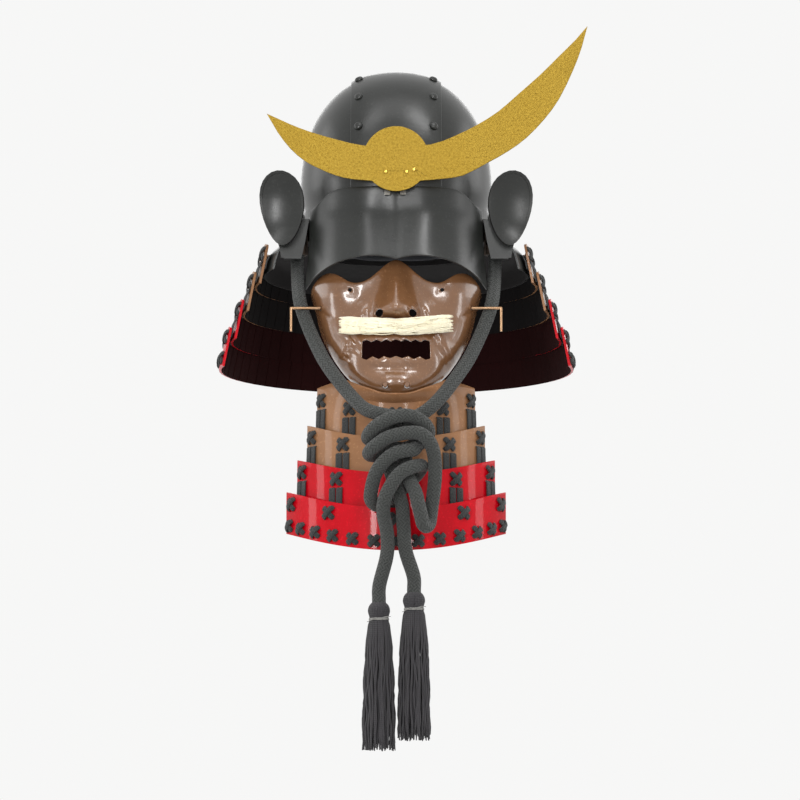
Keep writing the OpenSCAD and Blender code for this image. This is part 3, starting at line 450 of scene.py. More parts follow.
def metalFinish(name, dark, light, roughness):
    # drawn metal with dull patches
    finish = Finish(name, metallic=1.0)
    drawn = finish.noise(500, 3, 0.6, finish.stretched((1, 1, 0.15)))
    dull = finish.noise(45, 3)
    rough = roughness - 0.06 + dull * 0.18 + drawn * 0.06
    return finish.made(dull * 0.8 + drawn * 0.3, light, dark, rough, drawn, 0.00006)


def braidFinish(name, dark, light, strands, depth):
    # two families of strands that pass over and under each other
    finish = Finish(name, 0.86, Sheen_Weight=0.12, Sheen_Roughness=0.5)
    around, along = finish.woven()
    one = around * strands + along * strands
    two = around * strands - along * strands
    over = abs(((one * 0.5).whole() + (two * 0.5).whole()).leftOver(2))
    ridge = abs((one * pi).wave()) * over + abs((two * pi).wave()) * (1 - over)
    fuzz = finish.noise(1600, 2)
    worn = finish.noise(30, 3)
    share = ridge * 0.75 + worn * 0.3 + fuzz * 0.15 - 0.15
    return finish.made(share, dark, light, 0.74 + fuzz * 0.2, ridge + fuzz * 0.35, depth)


def yarnFinish(name, dark, light, twists, depth):
    # two plies twisted round each other
    finish = Finish(name, 0.8, Sheen_Weight=0.15)
    around, along = finish.woven()
    ply = abs(((around * 2 + along * twists) * pi).wave())
    fuzz = finish.noise(900, 2)
    lock = finish.noise(70, 2)
    share = ply * 0.55 + lock * 0.5 - 0.1
    return finish.made(share, dark, light, 0.6 + fuzz * 0.3, ply + fuzz * 0.3, depth)


def clothFinish(name, dark, light, pitch):
    # plain weave on a curved shell, read from three sides
    finish = Finish(name, 0.9, Sheen_Weight=0.2)
    x, y, z = finish.split(finish.place, "XYZ")
    wefts = abs((z * (pi / pitch)).wave())
    warps = abs(((x + y) * (pi / pitch)).wave())
    weave = wefts * 0.55 + warps * 0.45
    fade = finish.noise(18, 4)
    return finish.made(weave * 0.5 + fade * 0.5, dark, light, 0.82 + weave * 0.1, weave, 0.0003)


def leatherFinish(name, dark, light):
    # pebbled grain with worn places
    finish = Finish(name, 0.55)
    grain = finish.cells(420)
    worn = finish.noise(60, 3)
    return finish.made(worn * 0.8 + grain * 0.3, dark, light, 0.45 + worn * 0.25, grain, 0.0003)


def hairFinish(name, dark, light):
    # fine hairs along the bar, in broader locks
    finish = Finish(name, 0.6, Sheen_Weight=0.3, Sheen_Roughness=0.4, Specular_IOR_Level=0.35)
    lock = finish.noise(90, 3, 0.6, finish.stretched((0.25, 1, 1.6)))
    hair = finish.noise(1400, 2, 0.6, finish.stretched((0.06, 1, 1)))
    return finish.made(lock * 0.6 + hair * 0.4, dark, light, 0.5 + hair * 0.25, hair, 0.0001)


finishes.update({
    "goldLeaf": goldFinish(),
    "brassWire": metalFinish("brassWire", (0.26, 0.145, 0.075), (0.50, 0.33, 0.20), 0.32),
    "goldPins": metalFinish("goldPins", (0.42, 0.27, 0.03), (0.80, 0.60, 0.13), 0.2),
    "steelFitting": metalFinish("steelFitting", (0.09, 0.085, 0.075), (0.22, 0.21, 0.19), 0.36),
    "cordBraid": braidFinish("cordBraid", (0.010, 0.011, 0.010), (0.048, 0.052, 0.048), 12, 0.0008),
    "lacingBraid": braidFinish("lacingBraid", (0.003, 0.004, 0.004), (0.034, 0.036, 0.036), 4, 0.0006),
    "tasselYarn": yarnFinish("tasselYarn", (0.006, 0.006, 0.007), (0.036, 0.032, 0.037), 3.0, 0.0004),
    "paleThread": yarnFinish("paleThread", (0.10, 0.10, 0.095), (0.42, 0.41, 0.38), 5.0, 0.0002),
    "liningCloth": clothFinish("liningCloth", (0.010, 0.011, 0.014), (0.036, 0.038, 0.046), 1.1 * mm),
    "loopLeather": leatherFinish("loopLeather", (0.02, 0.014, 0.01), (0.075, 0.048, 0.032)),
    "moustacheHair": hairFinish("moustacheHair", (0.96, 0.875, 0.62), (1.0, 0.95, 0.77)),
})
print("finishes made:", len(finishes))


# cords take their braid
dress(cordLeft, "cordBraid", "cord_black", "chin_cord_left")
dress(cordRight, "cordBraid", "cord_black", "chin_cord_right")


# tassels: yarn drawn over a small head, bound at the neck and hanging in a full skirt
tassel = {
    "head": [(1.4, -0.4), (6.6, -3.3), (9.3, -6.6), (10.2, -11), (8.9, -15.5), (8.2, -19)],
    "skirt": [(10.2, -25), (12.6, -45), (14.6, -85), (15.6, -124), (16.0, -150)],
    "headSteps": 2,
    "skirtSteps": 16,
    "gap": 0.4,  # between the cord's end and the tassel's head, in mm
    "shells": [(1.0, 42), (0.82, 32), (0.6, 20), (0.36, 10)],  # share of the radius, strands
    "leastHead": 0.55,  # share of the head's radius below which no shell goes
    "spacing": 0.35,  # how unevenly the strands stand round a shell
    "drift": 0.16,  # how far a strand turns aside on its way down, in radians
    "yarn": 0.95,  # half the thickness of one yarn, in mm
    "yarnSpread": (0.85, 1.2),
    "tips": (0.95, 0.6),  # its last two thicknesses, as shares
    "yarnSides": 5,
    "yarnUnit": 6 * mm,  # length of one repeat of the twist
    "uneven": 9.0,  # how much shorter than the longest a strand may be, in mm
    "unevenPower": 1.5,  # above one, so that most strands are cut by little
    "wave": 0.75,  # how far a yarn waves to and fro, in mm
    "wavePitch": (26, 46),
    "asidePitch": 0.7,  # waves aside for each wave in and out
}


def skirtRadius(plan, z):
    for (r0, z0), (r1, z1) in zip(plan["skirt"], plan["skirt"][1:]):
        if z >= z1:
            return r0 + (r1 - r0) * (z - z0) / (z1 - z0)
    return plan["skirt"][-1][0]


def tasselSkirt(plan, name, top, girth, seed):
    dice = random.Random(seed)
    yarn = Sweep(name)
    topZ, lowZ = plan["skirt"][0][1], plan["skirt"][-1][1]
    for share, strands in plan["shells"]:
        headShare = max(share, plan["leastHead"])
        for i in range(strands):
            turn = 2 * pi * (i + plan["spacing"] * dice.random()) / strands
            drift = dice.uniform(-plan["drift"], plan["drift"])
            cut = dice.uniform(0, plan["uneven"]) ** plan["unevenPower"]
            cut /= plan["uneven"] ** (plan["unevenPower"] - 1)
            pitch, phase = dice.uniform(*plan["wavePitch"]), dice.uniform(0, 6)
            line = smoothLine([Vector((r * headShare * cos(turn), r * headShare * sin(turn), z))
                               for r, z in plan["head"]], plan["headSteps"])
            for step in range(plan["skirtSteps"] + 1):
                z = topZ + (lowZ + cut - topZ) * step / plan["skirtSteps"]
                low = (topZ - z) / (topZ - lowZ)
                angle = turn + drift * low
                sway = plan["wave"] * ease(3 * low)
                aside = sway * cos(2 * plan["asidePitch"] * pi * z / pitch + 2 * phase)
                r = skirtRadius(plan, z) * share * (1 + (girth - 1) * low)
                r += sway * sin(2 * pi * z / pitch + phase)
                x, y = r * cos(angle) - aside * sin(angle), r * sin(angle) + aside * cos(angle)
                line.append(Vector((x, y, z)))
            line = [top + (p - Vector((0, 0, plan["gap"]))) * mm for p in line]
            size = plan["yarn"] * mm * dice.uniform(*plan["yarnSpread"])
            taper = [size] * (len(line) - 2) + [size * tip for tip in plan["tips"]]
            out = [Vector((cos(turn), sin(turn), 0.05))] * len(line)
            yarn.run(line, out, taper, taper, plan["yarnSides"], unit=plan["yarnUnit"])
    return yarn.finish()


binding = {
    "z": -19,
    "height": 1.9,  # of the windings together, in mm
    "radius": 9.75,
    "thread": 0.42,  # half the thickness of the thread, in mm
    "turns": 5,
    "steps": 22,  # points in one winding
    "sides": 6,
    "roll": (0.15, 2.3),  # how unevenly it lies up and down: size, waves in a winding
    "ripple": (0.2, 1.7),  # and in and out
    # the two short ends, tied off at the front: x, y, z, and a rise that is a drop on the left
    "ends": [(1.2, -9.9, 0, 0), (3.7, -10.9, 0.6, 0), (7.7, -11.1, 0, 1.8), (11.7, -9.7, -1, 2.6)],
    "endSteps": 3,
    "endThread": 0.36,
    "endSides": 5,
    "unit": 3 * mm,
}


def tasselBinding(plan, name, top):
    wind = Sweep(name)
    line, out = [], []
    steps = plan["steps"] * plan["turns"]
    for i in range(steps + 1):
        turn = 2 * pi * i / plan["steps"]
        z = plan["z"] - tassel["gap"] + plan["height"] * (i / steps - 0.5)
        z += plan["roll"][0] * sin(plan["roll"][1] * turn)
        r = plan["radius"] + plan["ripple"][0] * sin(plan["ripple"][1] * turn)
        away = Vector((cos(turn), sin(turn), 0))
        line.append(top + (away * r + Vector((0, 0, z))) * mm)
        out.append(away)
    half = plan["thread"] * mm
    wind.run(line, out, half, half, plan["sides"], unit=plan["unit"])
    half = plan["endThread"] * mm
    for hand in (-1, 1):
        ends = [Vector((hand * x, y, plan["z"] + z + hand * lift)) for x, y, z, lift in plan["ends"]]
        ends = [top + p * mm for p in smoothLine(ends, plan["endSteps"])]
        out = [Vector((0, -1, 0.2))] * len(ends)
        wind.run(ends, out, half, half, plan["endSides"], unit=plan["unit"])
    return wind.finish()


for hand, top, girth, seed in (("left", endLeft, 1.0, 11), ("right", endRight, 0.97, 29)):
    skirt = tasselSkirt(tassel, "tasselSkirt" + hand.capitalize(), top, girth, seed)
    dress(skirt, "tasselYarn", "tassel_yarn", "tassel_" + hand)
    thread = tasselBinding(binding, "tasselThread" + hand.capitalize(), top)
    dress(thread, "paleThread", "pale_thread", "tassel_binding_" + hand)
round(lengthOf(lineLeft), 3)
round(lengthOf(lineRight), 3)
print("tassels made")


# rigid pieces: a clean copy of the node with softened edges and a smooth skin
softening = {
    "weld": 0.00002,  # corners closer than this become one
    "quadFace": 30,  # two triangles become a quad where they lie this flat, in degrees,
    "quadShape": 50,  # and where its corners are this near to square
    "bevelSteps": 2,
}


def softened(name, nodeName, bevel, angle=34, levels=1, smooth=40):
    piece = bpy.data.objects.new(name, nodes[nodeName].data.copy())
    bpy.context.scene.collection.objects.link(piece)
    pickOnly(piece)
    bpy.ops.object.mode_set(mode="EDIT")
    bpy.ops.mesh.select_mode(type="VERT")
    bpy.ops.mesh.select_all(action="SELECT")
    bpy.ops.mesh.customdata_custom_splitnormals_clear()
    bpy.ops.mesh.remove_doubles(threshold=softening["weld"])
    if levels:
        bpy.ops.mesh.tris_convert_to_quads(face_threshold=radians(softening["quadFace"]),
                                           shape_threshold=radians(softening["quadShape"]))
    bpy.ops.mesh.select_all(action="DESELECT")
    bpy.ops.mesh.select_mode(type="EDGE")
    bpy.ops.mesh.edges_select_sharp(sharpness=radians(angle))
    if bevel:
        bpy.ops.mesh.bevel(offset=bevel * mm, segments=softening["bevelSteps"], affect="EDGES",
                           clamp_overlap=True)
    bpy.ops.object.mode_set(mode="OBJECT")
    if levels:
        skin = piece.modifiers.new("skin", "SUBSURF")
        skin.levels = skin.render_levels = levels
        bpy.ops.object.modifier_apply(modifier="skin")
    bpy.ops.object.shade_smooth_by_angle(angle=radians(smooth))
    return piece


rigidPieces = {
    # node: piece, finish, slot, bevel in mm, subdivision levels, faces smoothed up to this angle
    "front_plate": ("browPlate", "blackIron", "black_lacquer", 0.55, 1, 40),
    "crown_strip": ("crownStrip", "blackIron", "black_lacquer", 0.5, 1, 40),
    "left_side_plate": ("sidePlateLeft", "blackIron", "black_lacquer", 0.5, 1, 40),
    "right_side_plate": ("sidePlateRight", "blackIron", "black_lacquer", 0.5, 1, 40),
    "neck_lame_1": ("topLame", "blackIron", "black_lacquer", 0.5, 1, 40),
    "mask_shell": ("faceMask", "russetMask", "brown_lacquer", 0, 2, 40),
    "throat_lame_1": ("throatLameOne", "tanLacquer", "tan_lacquer", 0.5, 1, 40),
    "throat_lame_2": ("throatLameTwo", "tanLacquer", "tan_lacquer", 0.5, 1, 40),
    "throat_lame_3": ("throatLameThree", "redLacquer", "red_lacquer", 0.5, 1, 40),
    "throat_lame_4": ("throatLameFour", "redLacquer", "red_lacquer", 0.5, 1, 40),
    "left_wing": ("wingLeft", "blackIron", "black_lacquer", 0, 0, 40),
    "right_wing": ("wingRight", "blackIron", "black_lacquer", 0, 0, 40),
    "crest": ("goldHorns", "goldLeaf", "gold_leaf", 0.3, 0, 14),
}
for nodeName, (name, finish, slot, bevel, levels, smooth) in rigidPieces.items():
    piece = softened(name, nodeName, bevel, levels=levels, smooth=smooth)
    dress(piece, finish, slot, nodeName)
print("rigid pieces softened:", len(rigidPieces))


# shallow folds hammered into the mask, both faces moved together
maskFolds = {
    "middleY": -60,
    # the folds beside the mouth: where they start, their length, their near and far x
    "smileAt": (86, 62, 23, 52),
    "smileBend": 1.2, "smilePitch": 7.0, "smileShift": 3, "smileReach": 14, "smileDepth": 0.8,
    "smileTop": -123, "smileLow": -150,
    "smileFades": (8, 10, 4, 7),  # at the top, the foot, the near side and the far side
    "cheekLines": [((88, -84), (62, -104)), ((60, -96), (52, -116))],
    "cheekDepth": 0.9, "cheekWidth": 2.0, "cheekFade": 2.4,
    "bridgeDepth": 0.8, "bridgeTop": -54, "bridgeLow": -92, "bridgeWidth": 2.2, "bridgeFade": 8,
    "grooveAt": 5.5, "grooveShare": 0.8,
    "browLines": [-52, -57.5, -63], "browDepth": 0.5, "browWidth": 1.4, "browReach": 8, "browBend": 0.03,
}


def foldDepth(plan, off, z):
    # off is the distance from the middle of the face and z the height, both in mm
    start, length, near, far = plan["smileAt"]
    top, foot, nearSide, farSide = plan["smileFades"]
    away = off - near - (far - near) * min(1.0, max(0.0, (-z - start) / length)) ** plan["smileBend"]
    shown = ease((plan["smileTop"] - z) / top) * ease((z - plan["smileLow"]) / foot)
    shown *= ease(away / nearSide) * ease((plan["smileReach"] - away) / farSide)
    ripple = cos(2 * pi * (away - plan["smileShift"]) / plan["smilePitch"])
    deep = plan["smileDepth"] * ripple * shown
    for (ax, az), (bx, bz) in plan["cheekLines"]:
        dx, dz = bx - ax, bz - az
        t = min(1.0, max(0.0, ((off - ax) * dx + (z - az) * dz) / (dx ** 2 + dz ** 2)))
        aside = hypot(off - ax - t * dx, z - az - t * dz)
        shown = ease(plan["cheekFade"] * t) * ease(plan["cheekFade"] * (1 - t))
        deep -= plan["cheekDepth"] * bell(aside, plan["cheekWidth"]) * shown
    shown = ease((plan["bridgeTop"] - z) / plan["bridgeFade"])
    shown *= ease((z - plan["bridgeLow"]) / plan["bridgeFade"])
    groove = plan["grooveShare"] * bell(off - plan["grooveAt"], plan["bridgeWidth"])
    deep += plan["bridgeDepth"] * shown * (bell(off, plan["bridgeWidth"]) - groove)
    for level in plan["browLines"]:
        bent = z - level - plan["browBend"] * off * off
        deep -= plan["browDepth"] * bell(bent, plan["browWidth"]) * bell(off, plan["browReach"])
    return deep


def foldMask(plan, piece):
    for v in piece.data.vertices:
        deep = foldDepth(plan, abs(v.co.x) / mm, v.co.z / mm)
        v.co += Vector((v.co.x, v.co.y - plan["middleY"] * mm, 0)).normalized() * deep * mm


foldMask(maskFolds, bpy.data.objects["faceMask"])
print("mask folded")


# what stays as the frame has it takes only a finish
keptFinishes = {
    "base_band": "blackIron", "crown_rivets": "blackIron", "band_rivets": "blackIron",
    "crest_holder": "steelFitting", "crest_socket": "goldLeaf", "crest_pins": "goldPins",
    "neck_lame_2": "tanLacquer", "neck_lame_3": "tanLacquer", "neck_lame_4": "redLacquer",
    "neck_lame_5": "redLacquer", "chin_pegs": "russetMask", "mask_hook_left": "brassWire",
    "mask_hook_right": "brassWire",
}
for nodeName, finish in keptFinishes.items():
    paint(nodes[nodeName], finish)
print("kept nodes finished:", len(keptFinishes))


# the crossed knots and flat braids that lace the lames together, in mm and degrees
neckGuard = {
    "halfWidth": 98, "halfLength": 120.5, "first": 42, "step": 12.3, "drop": 29, "topZ": -12,
    "lean": 11.5, "back": 46, "lameHeight": 43, "lameThick": 2.4, "scaleWidth": 17.5,
    "columnPitch": 53, "columnSpan": 0.975, "knotDrop": 11, "knotSize": 17,
    "rowSize": 14.5, "rowShare": 0.97, "rowRise": 9.5, "clear": 0.4,
    "firstBraid": (-43.5, -50, -58), "braid": (-19.5, -28, -42),  # heights of start, middle and end
}
throatGuard = {
    "halfWidth": 92, "widthStep": 9.5, "halfDepth": 88, "depthStep": 5, "middleY": -50,
    "topZ": -190, "drop": 36, "height": 43, "thick": 2.2, "reach": [62, 64, 66, 69], "rise": [26, 22, 22, 25],
    "columns": [-0.9, -0.5, 0, 0.5, 0.9], "knotDrop": 11.5, "knotSize": 16,
    "rowSize": 14, "rowShare": 0.93, "rowRise": 9, "rowCount": 13, "clear": 0.5,
    "braid": (-21, -34, -42.5),
}
lacing = {
    "braidWidth": 7.5, "braidThick": 1.4, "braidGap": 0.4, "lift": 0.55,
    "braidHole": (0.4, -0.8),  # a braid comes out of its hole between these heights
    "braidDive": 1.6,
    "knotWidth": 0.80, "knotThick": 1.9, "knotSteps": (-1, -0.82, -0.5, 0, 0.5, 0.82, 1),
    "crowns": (1.5, 3.0),  # how high the lower and the upper braid of a knot arch
    # a knot's width at its ends, its loss in the middle, how far its ends dive, and its least lift
    "knotEnd": 0.72, "knotWaist": 0.1, "knotDive": 1.2, "knotLow": 0.2,
    "slant": 0.7071,  # both braids of a knot lie at 45 degrees
    "sides": 8, "square": 0.65, "wraps": 2, "unit": 7 * mm,
}
numberWords = ("One", "Two", "Three", "Four", "Five")


def neckSize(plan, lame):
    return [plan[side] + plan["first"] + plan["step"] * lame for side in ("halfWidth", "halfLength")]


def neckReach(plan, lame):
    return 90 + degrees(asin(plan["back"] / neckSize(plan, lame)[1]))


def neckArc(plan, lame):
    return radians(2 * neckReach(plan, lame)) * sum(neckSize(plan, lame)) / 2


def onNeck(plan, lame, angle):
    # a frame on the outer face of a lame, at an angle round from the back
    a, b = neckSize(plan, lame)
    t = radians(angle)
    turn = atan2(-b * sin(t), a * cos(t))
    place = Vector((a * sin(t), b * cos(t), plan["topZ"] - plan["drop"] * lame))
    return (Matrix.Translation(place * mm) @ Matrix.Rotation(turn, 4, "Z")
            @ Matrix.Rotation(radians(plan["lean"]), 4, "X"))


def onThroat(plan, lame, angle, down):
    # the same on the throat guard, round from the front and down from the lame's top edge
    a, b = plan["halfWidth"] + plan["widthStep"] * lame, plan["halfDepth"] + plan["depthStep"] * lame
    t = radians(angle)
    x, y = a * sin(t), plan["middleY"] - b * cos(t)
    turn = pi + atan2(b * sin(t), a * cos(t))
    z = plan["topZ"] - plan["drop"] * lame - down + plan["rise"][lame] * (abs(x) / a) ** 2
    return Matrix.Translation(Vector((x, y, z)) * mm) @ Matrix.Rotation(turn, 4, "Z")


def layBraid(sweep, frameAt, points, wide, thick):
    line = [frameAt @ (Vector(p) * mm) for p in points]
    out = [frameAt.to_3x3() @ Vector((0, 1, 0.001))] * len(line)
    sweep.run(line, out, wide, thick, lacing["sides"], lacing["square"], lacing["wraps"], lacing["unit"])


def crossKnot(sweep, frameAt, size, z):
    # one braid lies under, the other arches over it, and both ends dive into the lame
    half, wide = size / 2, lacing["braidWidth"] * lacing["knotWidth"] / 2
    for sign, crown in zip((1, -1), lacing["crowns"]):
        points, widths = [], []
        for t in lacing["knotSteps"]:
            atEnd = abs(t) == 1
            away = t * half * lacing["slant"]
            lift = lacing["lift"] + lacing["knotLow"] + (crown - lacing["knotLow"]) * (1 - abs(t) ** 3)
            points.append((away, lift - (lacing["knotDive"] if atEnd else 0), z + sign * away))
            share = lacing["knotEnd"] if atEnd else 1.0 - lacing["knotWaist"] * (1 - abs(t))
            widths.append(wide * mm * share)
        layBraid(sweep, frameAt, points, widths, lacing["knotThick"] / 2 * mm)


def braidPair(sweep, frameAt, heights, reach):
    # two flat braids side by side, from holes in one lame to behind the next
    start, bend, end = heights
    near, far = (lift + lacing["braidThick"] / 2 for lift in (lacing["lift"], reach))
    above, below = lacing["braidHole"]
    for sign in (-1, 1):
        x = sign * (lacing["braidWidth"] / 2 + lacing["braidGap"])
        points = [(x, near - lacing["braidDive"], start + above), (x, near, start + below),
                  (x, near * 0.8 + far * 0.2, (start + bend) / 2), (x, far, bend),
                  (x, far, (bend + end) / 2), (x, far, end)]
        layBraid(sweep, frameAt, points, lacing["braidWidth"] / 2 * mm, lacing["braidThick"] / 2 * mm)


def evenly(count, reach):
    # this many angles from minus reach to reach
    return [-reach + i * 2 * reach / (count - 1) for i in range(count)]


def neckLacing(plan, lame, last):
    lean = radians(plan["lean"])
    room = (plan["step"] - plan["drop"] * tan(lean)) * cos(lean) - plan["lameThick"]
    reach = room - plan["clear"] - lacing["braidThick"]
    span = neckReach(plan, lame) * plan["columnSpan"]
    sweep = Sweep("neckLacing" + numberWords[lame + 1])
    for angle in evenly(round(neckArc(plan, lame) / plan["columnPitch"]) + 1, span):
        at = onNeck(plan, lame, angle)
        if lame < 0:
            braidPair(sweep, at, plan["firstBraid"], reach)
            continue
        crossKnot(sweep, at, plan["knotSize"], -plan["knotDrop"])
        if not last:
            braidPair(sweep, at, plan["braid"], reach)
    if last:
        count = round(round(neckArc(plan, lame) / plan["scaleWidth"]) * plan["rowShare"])
        for angle in evenly(count, span):
            crossKnot(sweep, onNeck(plan, lame, angle), plan["rowSize"], plan["rowRise"] - plan["lameHeight"])
    return sweep.finish()


def throatLacing(plan, lame, last):
    sweep = Sweep("throatLacing" + numberWords[lame])
    reach = plan["depthStep"] - plan["thick"] - lacing["braidThick"] - plan["clear"]
    for column in plan["columns"]:
        angle = column * plan["reach"][lame]
        crossKnot(sweep, onThroat(plan, lame, angle, plan["knotDrop"]), plan["knotSize"], 0)
        if not last:
            braidPair(sweep, onThroat(plan, lame, angle, 0), plan["braid"], reach)
    if last:
        for angle in evenly(plan["rowCount"], plan["reach"][lame] * plan["rowShare"]):
            at = onThroat(plan, lame, angle, plan["height"] - plan["rowRise"])
            crossKnot(sweep, at, plan["rowSize"], 0)
    return sweep.finish()


for lame in range(-1, 4):  # the smooth top lame is number -1
    laced = neckLacing(neckGuard, lame, lame == 3)
    dress(laced, "lacingBraid", "lacing_black", f"neck_lacing_{lame + 2}")
for lame in range(4):
    laced = throatLacing(throatGuard, lame, lame == 3)
    dress(laced, "lacingBraid", "lacing_black", f"throat_lacing_{lame + 1}")
print("lacing made")


# the clipped moustache: a felted bar with locks of hair laid from its middle to its two ends
moustache = {
    "locks": 150,
    "hairs": 11,  # in one lock
    "hairHalf": 0.3,  # half the thickness of a hair, in mm
    "taper": (0.5, 1, 1, 1, 0.85, 0.4),  # its thickness from root to tip, as shares
    "sides": 3,
    "length": (12, 26),
    "longLocks": 5,  # every fifth lock reaches the end
    "shortest": 0.6,  # how near the middle a lock may end, as a share of its length
    "turn": 100,  # how far round the bar a lock may lie, in degrees
    "slant": 14,
    "spread": 15,  # how far the hairs of one lock fan out
    # how far out a hair lies, as shares of the bar's size: all, each by chance, root and arch
    "skin": 0.9,
    "depth": (-0.05, 0.03),
    "sink": 0.1,
    "rise": 0.13,
    "round": 0.85,  # power that fills out the bar's corners
    "shrink": 1.1,  # how far the core is drawn in, in mm
    "overhang": 2.4,  # how far the longest hairs stand past the bar, in mm
    "square": 0.9,  # share of the length up to which the bar keeps its height
    "corners": 8,  # a place along the bar with fewer is no whole section
    "rightEnd": 2.0,  # how much higher the right end stands, in mm
    "riseFrom": 0.25,  # share of the right half where it starts to rise
    "unit": 4 * mm,
    "seed": 5,
}


def raised(plan, share):
    return plan["rightEnd"] * mm * ease((share - plan["riseFrom"]) / (1 - plan["riseFrom"]))


def barSections(plan, half):
    # centre and half size of the bar at each place along it, as its node has them
    rows = {}
    for v in nodes["moustache"].data.vertices:
        rows.setdefault(round(v.co.x / half, 3), set()).add((round(v.co.y, 6), round(v.co.z, 6)))
    sections = []
    for x in sorted(x for x in rows if len(rows[x]) >= plan["corners"]):
        (lowY, highY), (lowZ, highZ) = ((min(side), max(side)) for side in zip(*rows[x]))
        sections.append((x, (lowY + highY) / 2, (lowZ + highZ) / 2, (highY - lowY) / 2, (highZ - lowZ) / 2))
    return sections


def sectionAt(sections, x):
    j = next((i for i in range(1, len(sections)) if sections[i][0] >= x), len(sections) - 1)
    before, after = sections[j - 1], sections[j]
    t = (x - before[0]) / (after[0] - before[0])
    return [c * (1 - t) + d * t for c, d in zip(before[1:], after[1:])]


def moustacheCorePiece(plan, half):
    core = softened("moustacheCore", "moustache", 0, angle=60, levels=1, smooth=66)
    for v in core.data.vertices:  # drawn in a little so that the hair lies in its place
        v.co += Vector((0, 0, raised(plan, v.co.x / half))) - v.normal * plan["shrink"] * mm
    return core


def moustacheHairPiece(plan, half):
    sections = barSections(plan, half)
    dice = random.Random(plan["seed"])
    hair = Sweep("moustacheHair")
    taper = [plan["hairHalf"] * mm * share for share in plan["taper"]]
    last = len(taper) - 1
    for i in range(plan["locks"]):
        turn, hand = dice.uniform(-plan["turn"], plan["turn"]), 1 if i % 2 else -1
        size = dice.uniform(*plan["length"]) * mm / half
        tip = 1.0 if i % plan["longLocks"] == 0 else dice.uniform(size * plan["shortest"], 1.0)
        slant, sink = dice.uniform(-plan["slant"], plan["slant"]), dice.uniform(0.0, plan["sink"])
        for n in range(plan["hairs"]):
            spread, depth = dice.uniform(-1, 1) * plan["spread"], dice.uniform(*plan["depth"])
            end = tip + dice.uniform(0.2, 1) * plan["overhang"] * mm / half
            line, out = [], []
            for j in range(last + 1):
                t = j / last
                x = hand * (end - size * (1 - t))
                cy, cz, ry, rz = sectionAt(sections, min(max(x, -plan["square"]), plan["square"]))
                angle = radians(turn + slant * (t - 0.5) + spread * (1 - 0.7 * t * t))
                away = Vector((0, -rounded(cos(angle), plan["round"]), rounded(sin(angle), plan["round"])))
                far = plan["skin"] + depth - sink * (1 - t)
                far += plan["rise"] * sin(pi * min(1, 0.85 * t))
                y, z = cy + away.y * ry * far, cz + away.z * rz * far
                line.append(Vector((x * half, y, z + raised(plan, x))))
                out.append(away)
            hair.run(line, out, taper, taper, plan["sides"], unit=plan["unit"])
    return hair.finish()


barLow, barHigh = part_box("moustache")
halfBar = (barHigh[0] - barLow[0]) / 2
for piece in (moustacheCorePiece(moustache, halfBar), moustacheHairPiece(moustache, halfBar)):
    dress(piece, "moustacheHair", "moustache_hair", "moustache")
print("moustache made")


# the quilted lining and the two leather loops
lining = {
    "quiltDepth": 1.6, "meridians": 16, "ringPitch": 17.0,
    "crownFade": 30,  # the meridian seams fade out within this of the middle, in mm
    "puff": 0.5,  # power that rounds each quilted field
    "levels": 2,
}


def quiltedLining(plan):
    piece = softened("quiltedLining", "lining", 0, angle=60, levels=plan["levels"], smooth=66)
    for v in piece.data.vertices:
        seam = atan2(v.co.y, v.co.x) / (2 * pi) * plan["meridians"]
        ring = v.co.z / mm / plan["ringPitch"]
        fade = min(1.0, hypot(v.co.x, v.co.y) / mm / plan["crownFade"])
        across = abs(sin(pi * seam)) * fade + 1 - fade
        puff = across ** plan["puff"] * abs(sin(pi * ring)) ** plan["puff"]
        v.co += v.normal * (puff - 1) * plan["quiltDepth"] * mm
    bpy.ops.object.shade_smooth()
    return piece


quilt = dress(quiltedLining(lining), "liningCloth", "lining_cloth", "lining")
for hand in ("left", "right"):
    loop = softened("cordLoop" + hand.capitalize(), "cord_loop_" + hand, 0.5, levels=0)
    dress(loop, "loopLeather", "loop_leather", "cord_loop_" + hand)
print("lining and loops made")


# floor, soft studio light and a pale backdrop
studio = {
    "floorZ": -0.95,
    "floorNear": 0.7,  # the floor fades into the backdrop between these distances
    "floorFar": 2.6,
    "floorShown": 0.6,  # how far the camera sees it as pale as the backdrop
    "floorTones": ((0.80, 0.80, 0.795), (0.86, 0.86, 0.855)),
    "backdrop": (0.93, 0.93, 0.925),
    "fill": 0.42,
    "lampAim": (0, -0.03, -0.12),
    "lamps": [
        # place, width, height, watts
        ((-0.98, -2.95, 0.5), 0.26, 1.9, 41),
        ((0.66, -3.05, 0.45), 0.2, 1.8, 25),
        ((-0.95, -1.5, 2.4), 0.4, 1.3, 8),
        ((0.97, -1.5, 2.4), 0.42, 1.3, 23),
        ((-2.75, -0.5, 0.1), 0.5, 0.9, 10),
        ((2.75, -0.5, 0.1), 0.5, 0.9, 8),
        ((0.0, -0.9, 2.6), 1.8, 1.2, 9),
        ((-2.6, 0.9, 0.9), 1.6, 1.6, 13),
        ((2.6, 1.0, 0.9), 1.6, 1.6, 14),
        ((0.0, 2.9, 0.7), 1.8, 1.4, 13),
    ],
}


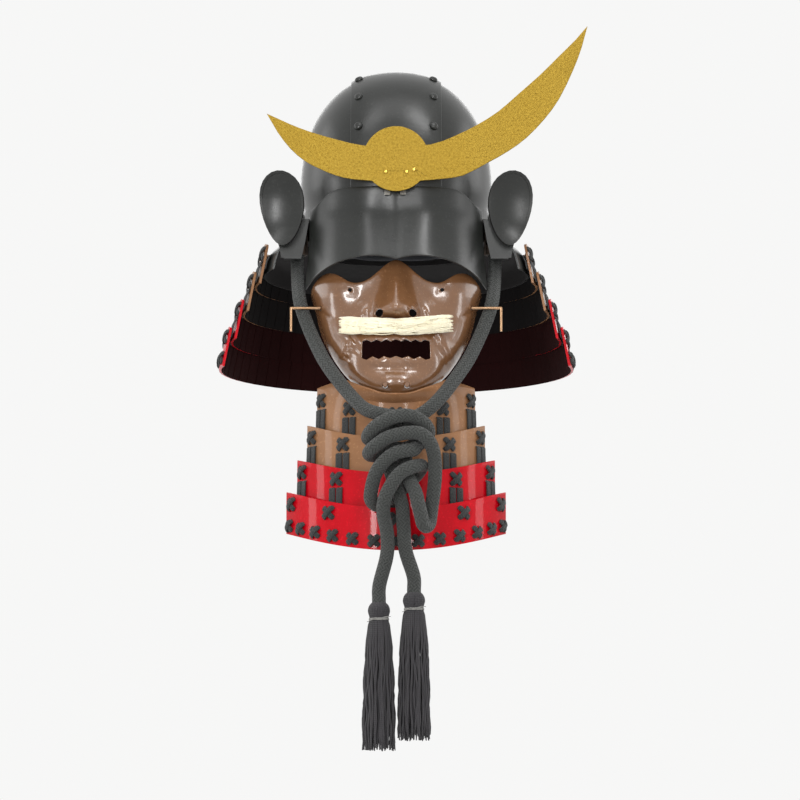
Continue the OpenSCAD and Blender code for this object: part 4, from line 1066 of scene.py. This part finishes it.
def addFloor(plan):
    bpy.ops.object.select_all(action="DESELECT")
    bpy.ops.mesh.primitive_plane_add(size=2 * plan["floorFar"], location=(0, 0, plan["floorZ"]))
    floor = bpy.context.active_object
    floor.name = "studioFloor"
    look = Finish("studioPaint", 0.9)
    look.give("Base Color", look.blend(look.noise(2.5, 3), *plan["floorTones"]))
    seen = look.node("ShaderNodeLightPath", {}, {}, "Is Camera Ray")
    glow = look.node("ShaderNodeEmission", {}, {"Color": (*plan["backdrop"], 1)})
    matt = Wire(look, look.shader.outputs[0])
    lit = look.node("ShaderNodeMixShader", {}, {0: seen * plan["floorShown"], 1: matt, 2: glow})
    across = look.vector("LENGTH", look.place, output="Value")
    fade = ((across - plan["floorNear"]) * (1 / (plan["floorFar"] - plan["floorNear"]))).capped()
    below = look.node("ShaderNodeNewGeometry", {}, {}, "Backfacing")  # nothing of it is seen from below
    clear = look.node("ShaderNodeBsdfTransparent", {}, {})
    shown = look.node("ShaderNodeMixShader", {}, {0: (fade + below).capped(), 1: lit, 2: clear})
    look.tree.links.new(shown.socket, look.tree.nodes["Material Output"].inputs["Surface"])
    floor.data.materials.append(look.material)


def addLamps(plan):
    for i, (place, width, height, watts) in enumerate(plan["lamps"]):
        data = bpy.data.lights.new(f"softbox{i + 1}", "AREA")
        data.shape = "RECTANGLE"
        data.size, data.size_y, data.energy = width, height, watts
        lamp = bpy.data.objects.new(data.name, data)
        lamp.location = place
        aim = Vector(plan["lampAim"]) - Vector(place)
        lamp.rotation_euler = aim.to_track_quat("-Z", "Y").to_euler()
        bpy.context.scene.collection.objects.link(lamp)


def addBackdrop(plan):
    # the camera, gloss and glass see the pale backdrop, and everything else a soft white fill
    world = bpy.data.worlds.new("studioAir")
    bpy.context.scene.world = world
    world.use_nodes = True
    tree = world.node_tree
    tree.nodes.clear()
    path = tree.nodes.new("ShaderNodeLightPath")
    seen = path.outputs["Is Camera Ray"]
    for ray in ("Is Glossy Ray", "Is Transmission Ray"):
        either = tree.nodes.new("ShaderNodeMath")
        either.operation = "MAXIMUM"
        tree.links.new(seen, either.inputs[0])
        tree.links.new(path.outputs[ray], either.inputs[1])
        seen = either.outputs[0]
    mixed = tree.nodes.new("ShaderNodeMixShader")
    tree.links.new(seen, mixed.inputs[0])
    tones = ((1, 1, 1), plan["fill"]), (plan["backdrop"], 1.0)
    for socket, (tone, strength) in enumerate(tones, 1):
        light = tree.nodes.new("ShaderNodeBackground")
        light.inputs["Color"].default_value = (*tone, 1)
        light.inputs["Strength"].default_value = strength
        tree.links.new(light.outputs[0], mixed.inputs[socket])
    final = tree.nodes.new("ShaderNodeOutputWorld")
    tree.links.new(mixed.outputs[0], final.inputs["Surface"])
    bpy.context.scene.view_settings.view_transform = "Standard"


addFloor(studio)
addLamps(studio)
addBackdrop(studio)
print("stage and light set")
